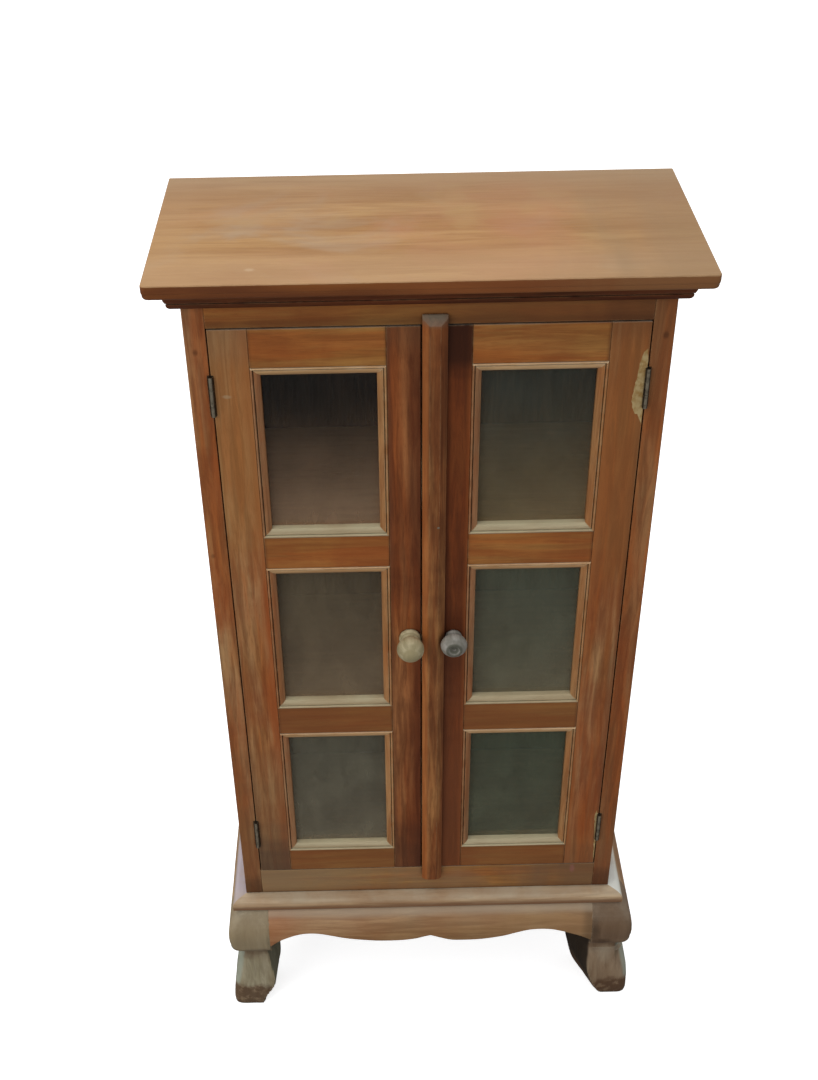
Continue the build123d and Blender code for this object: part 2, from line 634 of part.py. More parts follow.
def door(side, hand):
    save(f"{hand}_door_outer_stile", outer_stile(side))
    save(f"{hand}_door_closing_stile", closing_stile(side))
    for name in DOOR_RAILS:
        save(f"{hand}_door_{name}", door_rail(name, side))
    for level, top in PANE_TOPS.items():
        save(f"{hand}_door_glass_{level}", pane(side, top))
        save(f"{hand}_door_beads_{level}", pane_beads(side, top))


# ---- hinges, drawn on the right-hand side -------------------------------------------------------
def leaf_and_knuckles(z, plate_x, spans):
    """A flat leaf, notched round the other leaf's knuckles, with its own knuckles solid."""
    throat = HINGE_Y + BARREL_RECESS
    leaf = board(plate_x, (throat, HINGE_Y + LEAF_WIDTH), (z - HINGE_HEIGHT / 2, z + HINGE_HEIGHT / 2))
    for low, high in spans:
        leaf += board(plate_x, (HINGE_Y, throat), (z + low, z + high))
        leaf += Pos(HINGE_X, HINGE_Y, z + (low + high) / 2) * Cylinder(BARREL_RADIUS, high - low)
    return leaf


def case_leaf(z):
    """The fixed leaf: its end knuckles hold the pin tightly, so they and the pin are one piece."""
    third, half = HINGE_HEIGHT / 6, HINGE_HEIGHT / 2
    near = HINGE_X + LEAF_PLAY / 2
    spans = [(-half, -third - KNUCKLE_GAP / 2), (third + KNUCKLE_GAP / 2, half)]
    leaf = leaf_and_knuckles(z, (near, near + LEAF_THICKNESS), spans)
    return leaf + Pos(HINGE_X, HINGE_Y, z) * Cylinder(PIN_RADIUS, HINGE_HEIGHT / 2)


def door_leaf(z):
    """The moving leaf, whose middle knuckle turns on the pin."""
    third = HINGE_HEIGHT / 6
    near = HINGE_X - LEAF_PLAY / 2
    spans = [(-third + KNUCKLE_GAP / 2, third - KNUCKLE_GAP / 2)]
    leaf = leaf_and_knuckles(z, (near - LEAF_THICKNESS, near), spans)
    return leaf - Pos(HINGE_X, HINGE_Y, z) * Cylinder(PIN_RADIUS + PIN_CLEARANCE, HINGE_HEIGHT)


def hinges():
    """Each side's upper and lower leaves, which are alike, in one piece of two solids."""
    for name, leaf in (("case", case_leaf), ("door", door_leaf)):
        leaves = [solid for z in HINGE_HEIGHTS.values() for solid in leaf(z).solids()]
        save_pair(f"hinge_left_{name}_leaves", f"hinge_right_{name}_leaves", Compound(leaves))


case()
mouldings()
stand()
door(1, "right")
door(-1, "left")
save("left_door_knob", knob(LEFT_KNOB_X, KNOB_REACH, LEFT_HEAD_RADIUS, LEFT_COLLAR_RADIUS))
save("right_door_knob", knob(RIGHT_KNOB_X, RIGHT_KNOB_REACH, RIGHT_HEAD_RADIUS, RIGHT_COLLAR_RADIUS))
save("meeting_strip", meeting_strip())
hinges()

os.makedirs("parts", exist_ok=True)
for node, solid in pieces.items():
    export_step(solid, f"parts/{node}.step")
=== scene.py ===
"""The looks of a small glazed display case on a cabriole stand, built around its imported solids."""

from functools import partial
from math import atan2, cos, hypot, pi, radians, sin, sqrt, tau

import bmesh
import bpy
from mathutils import Matrix, Vector, noise


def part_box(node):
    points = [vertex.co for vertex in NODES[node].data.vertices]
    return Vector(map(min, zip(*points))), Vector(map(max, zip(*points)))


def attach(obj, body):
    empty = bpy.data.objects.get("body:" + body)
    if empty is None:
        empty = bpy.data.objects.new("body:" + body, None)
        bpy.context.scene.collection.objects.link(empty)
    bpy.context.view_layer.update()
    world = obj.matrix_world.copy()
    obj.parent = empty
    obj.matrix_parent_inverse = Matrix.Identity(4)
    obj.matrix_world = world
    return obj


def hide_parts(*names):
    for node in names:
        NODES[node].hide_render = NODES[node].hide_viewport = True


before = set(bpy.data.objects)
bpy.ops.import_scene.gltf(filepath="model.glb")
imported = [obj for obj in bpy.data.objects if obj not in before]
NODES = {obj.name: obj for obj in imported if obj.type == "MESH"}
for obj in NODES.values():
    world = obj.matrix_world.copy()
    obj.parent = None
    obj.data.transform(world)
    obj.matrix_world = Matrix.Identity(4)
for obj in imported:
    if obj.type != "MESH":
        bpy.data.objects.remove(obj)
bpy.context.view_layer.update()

MM = 0.001
SIDES = {"left": -1, "right": 1}
LEVELS = ("upper", "middle", "lower")

# ---- places taken from the frame, in metres ----
SIDE_LOW, SIDE_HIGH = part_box("side_right")
HALF = SIDE_HIGH.x
CASE_FRONT = SIDE_LOW.y
CASE_BACK = SIDE_HIGH.y
CASE_TOP = SIDE_HIGH.z
STAND_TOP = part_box("base_nosing_front")[0].z
DOOR_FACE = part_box("left_door_top_rail")[0].y
GLASS_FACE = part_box("left_door_glass_upper")[0].y
TABLE_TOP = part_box("top_board")[1].z
STRIP_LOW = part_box("meeting_strip")[0]

# ---- the stand's shape, in millimetres, as in the solids ----
# Rows of (reach past the case's face, height above the floor); each row is one arc.
KNEE = [(12.0, STAND_TOP / MM), (24.6, 120.0), (24.4, 98.0)]
LIP = [(24.4, 98.0), (23.3, 91.0), (17.4, 84.8)]
SHIN = [(14.6, 84.5), (19.4, 60.0), (25.6, 28.0)]
TOE = [(25.6, 28.0), (27.0, 14.0), (26.0, 3.0)]
SOLE = (23.0, 0.0)
SHIN_INNER = [(22.0, 86.0), (30.5, 52.0), (26.0, 6.0)]
SOLE_INNER = (23.5, 0.0)
ANKLE = 84.5
LEG_INSET = 22.0
REAR_LEG_INSET = 45.0
REAR_TOE_CUT = 14.0
APRON_INNER = -2.0
STAND_SHIFT = (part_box("leg_front_left")[0].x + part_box("leg_front_right")[1].x) / 2 / MM
SCALLOP = [
    (0.0, 113.0),
    (0.10, 106.8),
    (0.24, 104.8),
    (0.34, 105.7),
    (0.46, 111.0),
    (0.72, 119.4),
    (0.93, 107.5),
    (1.0, 93.0),
]
# The soft waist between the knee's lip and the shin, as three points that shape its curve.
WAIST = [(20.1, 86.8), (14.0, 82.4), (16.0, 73.0)]
# Half the front apron's lower edge, from the cusp to the leg, as (share of its half length, height).
FRONT_SCALLOP = {
    "left": [
        (0.0, 112.8), (0.035, 111.3), (0.1, 107.4), (0.19, 105.2), (0.32, 105.2),
        (0.43, 107.6), (0.54, 111.4), (0.62, 115.6), (0.69, 118.5), (0.754, 119.4),
        (0.817, 118.0), (0.881, 114.0), (0.946, 107.5), (1.0, 98.0),
    ],
    "right": [
        (0.0, 112.8), (0.04, 109.9), (0.12, 104.3), (0.185, 103.2), (0.31, 104.0),
        (0.437, 108.3), (0.53, 113.8), (0.6, 117.4), (0.667, 118.6), (0.748, 117.8),
        (0.812, 114.8), (0.88, 110.2), (0.94, 105.0), (1.0, 97.0),
    ],
}
# The front shins and toes as the carver left them, by height: how far they reach sideways and
# forwards, where the waste beside the toe was cut off 20 mm before the case's corner and 20 mm behind
# it, and how far the inner face runs in.
FRONT_SHINS = {
    "left": [
        (0.0, 25.0, 27.4, -9.6, -17.0, 20.0),
        (3.0, 26.2, 28.8, -10.2, -18.0, 21.0),
        (8.0, 26.6, 28.4, -11.4, -19.8, 21.8),
        (14.0, 26.2, 27.6, -14.6, -22.4, 23.6),
        (21.0, 25.4, 26.4, -19.2, -24.8, 25.8),
        (30.0, 24.0, 24.6, -22.6, -26.0, 27.0),
        (45.0, 21.2, 21.6, -21.6, -26.4, 27.4),
        (62.0, 18.2, 18.8, -18.4, -25.4, 26.4),
        (75.0, 16.2, 16.8, -16.0, -23.4, 24.4),
        (84.5, 15.0, 15.4, -15.0, -22.0, 23.0),
    ],
    "right": [
        (0.0, 25.0, 23.6, -5.8, -26.4, 27.4),
        (3.0, 26.4, 25.4, -8.4, -28.2, 29.2),
        (8.0, 26.8, 26.4, -11.4, -30.6, 31.6),
        (15.0, 26.9, 27.0, -15.4, -32.8, 33.8),
        (30.0, 26.6, 26.6, -20.4, -36.2, 37.2),
        (45.0, 24.8, 24.6, -23.2, -39.2, 40.4),
        (62.0, 20.8, 20.8, -21.2, -41.8, 43.0),
        (75.0, 17.8, 17.6, -17.4, -42.2, 43.2),
        (84.5, 15.4, 15.4, -16.4, -42.8, 43.8),
    ],
}
# How far the leg's outer corner is taken off, by height.
CORNER_EASES = [(0.0, 2.6), (20.0, 3.2), (34.0, 4.6), (70.0, 4.4), (90.0, 3.2), (110.0, 3.0), (150.0, 4.0)]
CHEEK_TOP = {"left": 118.0, "right": 128.0}
CHEEK_FULL = 100.0  # up to here a cheek behind the aprons keeps its full depth


# ---- small helpers ----
def tone(red, green, blue):
    """A colour mixed as on a screen, turned into the linear values that a shader takes."""
    values = []
    for part in (red, green, blue):
        share = part / 255
        values.append(share / 12.92 if share <= 0.04045 else ((share + 0.055) / 1.055) ** 2.4)
    return (*values, 1.0)


def between(low, high, share):
    return low + (high - low) * share


def smooth_step(low, high, value):
    share = min(max((value - low) / (high - low), 0.0), 1.0)
    return share * share * (3 - 2 * share)


def arc_points(start, through, end, count):
    """Points along the circle that passes through three points of a section."""
    (ax, ay), (bx, by), (cx, cy) = start, through, end
    turn = 2 * (ax * (by - cy) + bx * (cy - ay) + cx * (ay - by))
    a2, b2, c2 = ax * ax + ay * ay, bx * bx + by * by, cx * cx + cy * cy
    ox = (a2 * (by - cy) + b2 * (cy - ay) + c2 * (ay - by)) / turn
    oy = (a2 * (cx - bx) + b2 * (ax - cx) + c2 * (bx - ax)) / turn
    radius = hypot(ax - ox, ay - oy)
    first = atan2(ay - oy, ax - ox)
    sweep = (atan2(cy - oy, cx - ox) - first) % tau
    if (atan2(by - oy, bx - ox) - first) % tau > sweep:
        sweep -= tau
    steps = [first + sweep * i / count for i in range(count + 1)]
    return [(ox + radius * cos(angle), oy + radius * sin(angle)) for angle in steps]


def joined_arcs(*rows):
    """Several arcs, given as (three points, count), end to end."""
    points = []
    for arc, count in rows:
        points += arc_points(*arc, count)[1 if points else 0:]
    return points


def value_at(curve, key, wanted):
    """Read a curve of pairs at one value of its coordinate number key."""
    rows = sorted(curve, key=lambda pair: pair[key])
    other = 1 - key
    if wanted <= rows[0][key]:
        return rows[0][other]
    for low, high in zip(rows, rows[1:]):
        if wanted <= high[key]:
            span = high[key] - low[key]
            share = (wanted - low[key]) / span if span > 1e-9 else 1.0
            return between(low[other], high[other], share)
    return rows[-1][other]


def smooth_value(curve, wanted):
    """Read a curve of (key, value) pairs without corners at its points."""
    keys = [key for key, _ in curve]
    values = [value for _, value in curve]
    last = len(keys) - 1
    wanted = min(max(wanted, keys[0]), keys[last])
    i = max(k for k in range(last) if keys[k] <= wanted)

    def slope(k):
        below, above = max(k - 1, 0), min(k + 1, last)
        return (values[above] - values[below]) / (keys[above] - keys[below])

    width = keys[i + 1] - keys[i]
    t = (wanted - keys[i]) / width
    return ((1 + 2 * t) * (1 - t) ** 2 * values[i] + t * (1 - t) ** 2 * width * slope(i)
            + t * t * (3 - 2 * t) * values[i + 1] + t * t * (t - 1) * width * slope(i + 1))


def waver(point, size, seed):
    """Smooth noise from -1 to 1, for hand-made unevenness; size is the bumps' size."""
    return noise.noise(Vector(point) / size + Vector((seed, 0, 0)))


def finished_mesh(name, points, faces, sharp=35):
    """A piece from points and faces, with its normals outwards and its sharp edges kept."""
    mesh = bpy.data.meshes.new(name)
    mesh.from_pydata([tuple(p) for p in points], [], faces)
    shape = bmesh.new()
    shape.from_mesh(mesh)
    bmesh.ops.remove_doubles(shape, verts=shape.verts, dist=1e-6)
    bmesh.ops.recalc_face_normals(shape, faces=shape.faces)
    shape.to_mesh(mesh)
    shape.free()
    mesh.shade_smooth()
    mesh.set_sharp_from_angle(angle=radians(sharp))
    piece = bpy.data.objects.new(name, mesh)
    bpy.context.scene.collection.objects.link(piece)
    return piece


def grid_faces(rows, columns, closed=False):
    """Quads between neighbouring rows; closed joins each row's last point to its first."""
    faces = []
    for i in range(rows - 1):
        for j in range(columns if closed else columns - 1):
            k = (j + 1) % columns
            faces.append((i * columns + j, i * columns + k, (i + 1) * columns + k, (i + 1) * columns + j))
    return faces


def loft(name, rings, sharp=35):
    """A closed solid through rings that have equally many points each."""
    size = len(rings[0])
    points = [point for ring in rings for point in ring]
    faces = grid_faces(len(rings), size, closed=True)
    faces.append(tuple(range(size)))
    faces.append(tuple(range((len(rings) - 1) * size, len(rings) * size)))
    return finished_mesh(name, points, faces, sharp)


def place(piece, body, finish, slot, *nodes):
    """Give a piece its finish and its body, and hide the nodes that it stands for; slot is not used."""
    piece.data.materials.append(finish)
    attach(piece, body)
    if nodes:
        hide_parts(*nodes)
    return piece


# ---- shading helpers ----
def node(tree, kind, inputs=None, **settings):
    """Add one node, set its options, and set or link its inputs."""
    made = tree.nodes.new(kind)
    for key, value in settings.items():
        setattr(made, key, value)
    for key, value in (inputs or {}).items():
        feed(tree, made.inputs[key], value)
    return made


def feed(tree, socket, value):
    """Link a socket to another one, or set its plain value."""
    if isinstance(value, bpy.types.NodeSocket):
        tree.links.new(value, socket)
    else:
        socket.default_value = value


def calc(tree, operation, *values, clamp=False):
    made = node(tree, "ShaderNodeMath", operation=operation, use_clamp=clamp)
    for socket, value in zip(made.inputs, values):
        feed(tree, socket, value)
    return made.outputs[0]


def vector_calc(tree, operation, *values):
    made = node(tree, "ShaderNodeVectorMath", operation=operation)
    for socket, value in zip(made.inputs, values):
        feed(tree, socket, value)
    return made.outputs["Value" if operation in ("LENGTH", "DOT_PRODUCT") else "Vector"]


def blend(tree, factor, first, second):
    made = node(tree, "ShaderNodeMix", data_type="RGBA", blend_type="MIX", clamp_result=True)
    feed(tree, made.inputs[0], factor)
    feed(tree, made.inputs[6], first)
    feed(tree, made.inputs[7], second)
    return made.outputs[2]


def tint(tree, colour, mask, amount, over):
    """Lay another tone over a colour by part of a mask."""
    return blend(tree, calc(tree, "MULTIPLY", mask, amount), colour, over)


def opposite(tree, mask):
    return calc(tree, "SUBTRACT", 1.0, mask)


def object_place(tree):
    return node(tree, "ShaderNodeTexCoord").outputs["Object"]


def part_of(tree, vector, axis):
    return node(tree, "ShaderNodeSeparateXYZ", {"Vector": vector}).outputs[axis]


def facing_along(tree, axis):
    """How far the surface faces along one axis, from -1 to 1."""
    return part_of(tree, node(tree, "ShaderNodeNewGeometry").outputs["Normal"], axis)


def span(tree, value, low, high, to_low=0.0, to_high=1.0):
    """Turn the part of a value between low and high into a soft step."""
    inputs = {"Value": value, "From Min": low, "From Max": high, "To Min": to_low, "To Max": to_high}
    return node(tree, "ShaderNodeMapRange", inputs, interpolation_type="SMOOTHSTEP").outputs["Result"]


def cloud(tree, vector, scale=1.0, detail=2.0, rough=0.5, bend=0.0):
    inputs = {"Vector": vector, "Scale": scale, "Detail": detail, "Roughness": rough, "Distortion": bend}
    return node(tree, "ShaderNodeTexNoise", inputs).outputs["Fac"]


def new_group(name, inputs, outputs):
    """An empty shader group with named sockets; returns it with its input and output nodes."""
    tree = bpy.data.node_groups.new(name, "ShaderNodeTree")
    kinds = {"value": "NodeSocketFloat", "vector": "NodeSocketVector", "colour": "NodeSocketColor"}
    for socket_name, kind, default in inputs:
        socket = tree.interface.new_socket(socket_name, in_out="INPUT", socket_type=kinds[kind])
        socket.default_value = default
    for socket_name, kind in outputs:
        tree.interface.new_socket(socket_name, in_out="OUTPUT", socket_type=kinds[kind])
    return tree, tree.nodes.new("NodeGroupInput").outputs, tree.nodes.new("NodeGroupOutput").inputs


def use_group(tree, group, inputs=None):
    made = tree.nodes.new("ShaderNodeGroup")
    made.node_tree = group
    for key, value in (inputs or {}).items():
        feed(tree, made.inputs[key], value)
    return made.outputs


# ---- shared effects ----
def make_wood_figure():
    """Streaks along the grain at three widths, and a soft cloud of uneven stain."""
    inputs = [("Scale", "vector", (40, 40, 3)), ("Offset", "vector", (0, 0, 0))]
    outputs = [(mask, "value") for mask in ("Broad", "Warm", "Bands", "Pores", "Stain")]
    tree, given, result = new_group("wood_figure", inputs, outputs)
    place_on = object_place(tree)
    stretched = vector_calc(tree, "MULTIPLY", place_on, given["Scale"])
    stretched = vector_calc(tree, "ADD", stretched, given["Offset"])
    feed(tree, result["Broad"], span(tree, cloud(tree, stretched, 1.0, 3.0, 0.55, 0.35), 0.36, 0.64))
    shifted = vector_calc(tree, "ADD", stretched, (17.3, 5.1, 9.7))
    feed(tree, result["Warm"], span(tree, cloud(tree, shifted, 1.3, 3.0, 0.6, 0.5), 0.4, 0.62))
    feed(tree, result["Bands"], span(tree, cloud(tree, stretched, 3.2, 4.0, 0.6, 0.9), 0.34, 0.64))
    feed(tree, result["Pores"], span(tree, cloud(tree, stretched, 26.0, 2.0, 0.6), 0.52, 0.7))
    loose = vector_calc(tree, "ADD", place_on, given["Offset"])
    feed(tree, result["Stain"], span(tree, cloud(tree, loose, 11.0, 4.0, 0.6, 0.4), 0.34, 0.68))
    return tree


def make_edge_wear():
    """Where handling has rubbed the finish off the corners."""
    inputs = [("Radius", "value", 0.0016), ("Amount", "value", 1.0)]
    tree, given, result = new_group("edge_wear", inputs, [("Mask", "value")])
    rounded = node(tree, "ShaderNodeBevel", {"Radius": given["Radius"]}, samples=3).outputs["Normal"]
    flat = node(tree, "ShaderNodeNewGeometry").outputs["True Normal"]
    bend = opposite(tree, vector_calc(tree, "DOT_PRODUCT", rounded, flat))
    where = object_place(tree)
    broken = span(tree, cloud(tree, where, 60.0, 3.0, 0.65), 0.35, 0.62)
    mask = calc(tree, "MULTIPLY", span(tree, bend, 0.012, 0.16), broken)
    feed(tree, result["Mask"], calc(tree, "MULTIPLY", mask, given["Amount"], clamp=True))
    return tree


def make_settled_dust():
    """Dust that lies on what faces up, thinner where it has been brushed."""
    inputs = [("Amount", "value", 0.5), ("Offset", "vector", (0, 0, 0))]
    tree, given, result = new_group("settled_dust", inputs, [("Mask", "value")])
    up = facing_along(tree, "Z")
    where = vector_calc(tree, "ADD", object_place(tree), given["Offset"])
    patches = span(tree, cloud(tree, where, 16.0, 5.0, 0.62, 0.3), 0.3, 0.66, 0.25, 1.0)
    mask = calc(tree, "MULTIPLY", span(tree, up, 0.15, 0.95), patches)
    feed(tree, result["Mask"], calc(tree, "MULTIPLY", mask, given["Amount"], clamp=True))
    return tree


def make_joint_grime():
    """Dirt and old polish in corners and joints, with painted shade where they are shut in."""
    inputs = [("Reach", "value", 0.007), ("Amount", "value", 0.8)]
    tree, given, result = new_group("joint_grime", inputs, [("Mask", "value")])
    open_air = node(tree, "ShaderNodeAmbientOcclusion", {"Distance": given["Reach"]}, samples=4).outputs["AO"]
    shut_in = span(tree, opposite(tree, open_air), 0.22, 0.85)
    feed(tree, result["Mask"], calc(tree, "MULTIPLY", shut_in, given["Amount"], clamp=True))
    return tree


def make_spot():
    """A soft ragged patch around one place."""
    inputs = [
        ("Centre", "vector", (0, 0, 0)),
        ("Radii", "vector", (0.01, 0.01, 0.01)),
        ("Ragged", "value", 0.4),
        ("Soft", "value", 0.5),
    ]
    tree, given, result = new_group("spot", inputs, [("Mask", "value")])
    where = object_place(tree)
    away = vector_calc(tree, "SUBTRACT", where, given["Centre"])
    away = vector_calc(tree, "LENGTH", vector_calc(tree, "DIVIDE", away, given["Radii"]))
    wobble = calc(tree, "SUBTRACT", cloud(tree, where, 130.0, 3.0, 0.6), 0.5)
    away = calc(tree, "ADD", away, calc(tree, "MULTIPLY", wobble, given["Ragged"]))
    inner = opposite(tree, given["Soft"])
    mask = opposite(tree, span(tree, away, inner, 1.0))
    feed(tree, result["Mask"], mask)
    return tree


wood_figure = make_wood_figure()
edge_wear = make_edge_wear()
settled_dust = make_settled_dust()
joint_grime = make_joint_grime()
spot = make_spot()


# ---- finishes ----
GRAIN_ACROSS = 46.0  # streaks in a metre, across the grain
GRAIN_ALONG = 3.4
DUST_GREY = tone(186, 176, 160)
# tone of dirt, and of painted shade, in corners and joints
GRIME_AND_SHADE_BROWN = tone(30, 17, 9)
RAW_WOOD = tone(198, 158, 112)
WOOD_SHEEN = 0.2  # specular level of the worn wax


def grain_scale(along, across=GRAIN_ACROSS):
    """Stretch the figure along one axis."""
    return tuple(GRAIN_ALONG if axis == along else across for axis in "xyz")


def seed_offset(seed):
    return (seed * 3.17, seed * 1.93, seed * 2.71)


def treat(tree, colour, group, inputs, over):
    """Lay a tone over a colour where a shared effect says."""
    return blend(tree, use_group(tree, group, inputs)["Mask"], colour, over)


def emboss(tree, shader, height, strength, distance):
    bump = node(tree, "ShaderNodeBump", {"Strength": strength, "Distance": distance, "Height": height})
    feed(tree, shader.inputs["Normal"], bump.outputs[0])


def coat(tree, shader, inputs):
    """Link or set several inputs of a finish."""
    for key, value in inputs.items():
        feed(tree, shader.inputs[key], value)


def new_finish(name):
    finish = bpy.data.materials.new(name)
    finish.use_nodes = True
    tree = finish.node_tree
    tree.nodes.clear()
    shader = tree.nodes.new("ShaderNodeBsdfPrincipled")
    output = tree.nodes.new("ShaderNodeOutputMaterial")
    tree.links.new(shader.outputs[0], output.inputs["Surface"])
    return finish, tree, shader


def add_marks(tree, colour, marks):
    """Blend single marks over a colour; each is (centre, radii, colour, strength, ragged, soft)."""
    for centre, radii, mark_tone, strength, ragged, soft in marks:
        inputs = {"Centre": centre, "Radii": radii, "Ragged": ragged, "Soft": soft}
        mask = use_group(tree, spot, inputs)["Mask"]
        colour = tint(tree, colour, mask, strength, mark_tone)
    return colour


def add_fades(tree, colour, fades):
    """Let a colour pass into others; each is (axis, none at, all at, colour, strength), in millimetres."""
    where = object_place(tree)
    away = node(tree, "ShaderNodeSeparateXYZ", {"Vector": where}).outputs
    for axis, start, end, fade_tone, strength in fades:
        stretch = tuple(7.0 if axis != other else 38.0 for other in "xyz")
        wobble = cloud(tree, vector_calc(tree, "MULTIPLY", where, stretch), 1.0, 3.0, 0.6)
        uneven = calc(tree, "MULTIPLY", calc(tree, "SUBTRACT", wobble, 0.5), 0.9 * abs(end - start) * MM)
        mask = span(tree, calc(tree, "ADD", away[axis.upper()], uneven), start * MM, end * MM)
        colour = tint(tree, colour, mask, strength, fade_tone)
    return colour


def wood(name, seed, light, middle, dark, along="z", stain=None, warm=None, dust=0.5, wear=0.6,
         grime=0.75, rough=0.55, marks=(), fades=(), stain_amount=0.45, warm_amount=0.7, contrast=1.0,
         dust_tone=DUST_GREY, raw=RAW_WOOD):
    """Old waxed hardwood: three tones of figure, uneven stain, rubbed corners, dirt and painted shade in
    corners, and dust.
    """
    finish, tree, shader = new_finish(name)
    figure = use_group(tree, wood_figure, {"Scale": grain_scale(along), "Offset": seed_offset(seed)})
    colour = tint(tree, middle, figure["Broad"], 0.9 * contrast, light)
    if warm:
        colour = tint(tree, colour, figure["Warm"], warm_amount, warm)
    colour = tint(tree, colour, opposite(tree, figure["Bands"]), 0.55 * contrast, dark)
    colour = tint(tree, colour, figure["Pores"], 0.25 * contrast, dark)
    if stain:
        colour = tint(tree, colour, figure["Stain"], stain_amount, stain)
    colour = add_fades(tree, colour, fades)
    colour = add_marks(tree, colour, marks)
    colour = treat(tree, colour, edge_wear, {"Amount": wear}, raw)
    # dirt in corners and joints, with painted shade where they are shut in
    dirty_and_shaded = use_group(tree, joint_grime, {"Amount": grime})["Mask"]
    colour = blend(tree, dirty_and_shaded, colour, GRIME_AND_SHADE_BROWN)
    dusty = use_group(tree, settled_dust, {"Amount": dust, "Offset": seed_offset(seed)})["Mask"]
    colour = blend(tree, dusty, colour, dust_tone)
    feed(tree, shader.inputs["Base Color"], colour)
    gloss = calc(tree, "MULTIPLY_ADD", figure["Bands"], -0.1, rough + 0.05)
    gloss = calc(tree, "MULTIPLY_ADD", dusty, 0.3, gloss)
    feed(tree, shader.inputs["Roughness"], calc(tree, "MULTIPLY_ADD", dirty_and_shaded, 0.15, gloss, clamp=True))
    relief = calc(tree, "MULTIPLY_ADD", figure["Pores"], -0.6, figure["Bands"])
    emboss(tree, shader, relief, 0.22, 0.0006)
    feed(tree, shader.inputs["Specular IOR Level"], WOOD_SHEEN)
    return finish


# Reddish brown of the case, from its lightest to its darkest streaks.
CASE_LIGHT = tone(214, 170, 118)
CASE_MIDDLE = tone(190, 126, 70)
CASE_DARK = tone(108, 60, 30)
CASE_WARM = tone(196, 104, 44)
CENTRE_LIGHT = tone(196, 130, 78)
CENTRE_MIDDLE = tone(172, 94, 46)
CENTRE_DARK = tone(86, 40, 18)
RAIL_LIGHT = tone(212, 158, 86)
RAIL_MIDDLE = tone(182, 120, 58)
RAIL_DARK = tone(116, 64, 30)
RED_STAIN = tone(150, 70, 34)
DARK_STAIN = tone(74, 38, 22)
GREY_STAIN = tone(150, 124, 98)
BEAD_LIGHT = tone(250, 210, 158)
BEAD_MIDDLE = tone(224, 176, 122)
BEAD_DARK = tone(136, 92, 58)
TOP_LIGHT = tone(190, 146, 90)
TOP_MIDDLE = tone(164, 117, 61)
TOP_DARK = tone(116, 71, 32)
STAND_LIGHT = tone(220, 182, 138)
STAND_MIDDLE = tone(190, 148, 102)
STAND_DARK = tone(112, 76, 50)
SEAM_TONE = tone(96, 54, 28)


upright = partial(wood, light=CASE_LIGHT, middle=CASE_MIDDLE, dark=CASE_DARK, stain=RED_STAIN, warm=CASE_WARM)
level_rail = partial(wood, along="x", light=RAIL_LIGHT, middle=RAIL_MIDDLE, dark=RAIL_DARK, stain=RED_STAIN,
                     warm=CASE_WARM, contrast=0.7, warm_amount=0.55)
centre_stile = partial(wood, light=CENTRE_LIGHT, middle=CENTRE_MIDDLE, dark=CENTRE_DARK, stain=DARK_STAIN,
                       warm=tone(150, 74, 32))


def at(x, z, y=DOOR_FACE):
    """A place on the front, from millimetres across and above the floor."""
    return (x * MM, y, z * MM)


SCRATCH = (at(-169, 796), (0.0054, 0.01, 0.0024), tone(196, 164, 124), 0.65, 0.9, 0.7)
LEFT_KNOTS = [
    (at(-191.8, 838, CASE_FRONT), (0.0032, 0.012, 0.0045), tone(60, 32, 18), 0.5, 0.6, 0.8),
    (at(-195.6, 629.6, CASE_FRONT), (0.003, 0.01, 0.004), tone(60, 32, 18), 0.4, 0.6, 0.8),
]
RIGHT_KNOT = (at(193, 845.7, CASE_FRONT), (0.0035, 0.012, 0.005), tone(56, 32, 20), 0.5, 0.6, 0.8)
PINK_MARK = (at(158.3, 191.2, CASE_FRONT), (0.004, 0.01, 0.009), tone(176, 112, 106), 0.45, 0.9, 0.7)
TOP_SPOT = ((-0.1423, -0.080, TABLE_TOP), (0.006, 0.004, 0.01), tone(214, 188, 154), 0.3, 0.5, 0.8)


TOP_FADES = [
    ("x", 60, 215, tone(146, 116, 80), 0.65),
    ("x", -150, -224, tone(182, 142, 96), 0.4),
    ("y", -20, 82, tone(150, 114, 80), 0.45),
]
TOP_EDGE_FADES = [
    ("x", -60, 20, tone(160, 92, 44), 0.5),
    ("x", 60, 180, tone(150, 104, 62), 0.7),
]


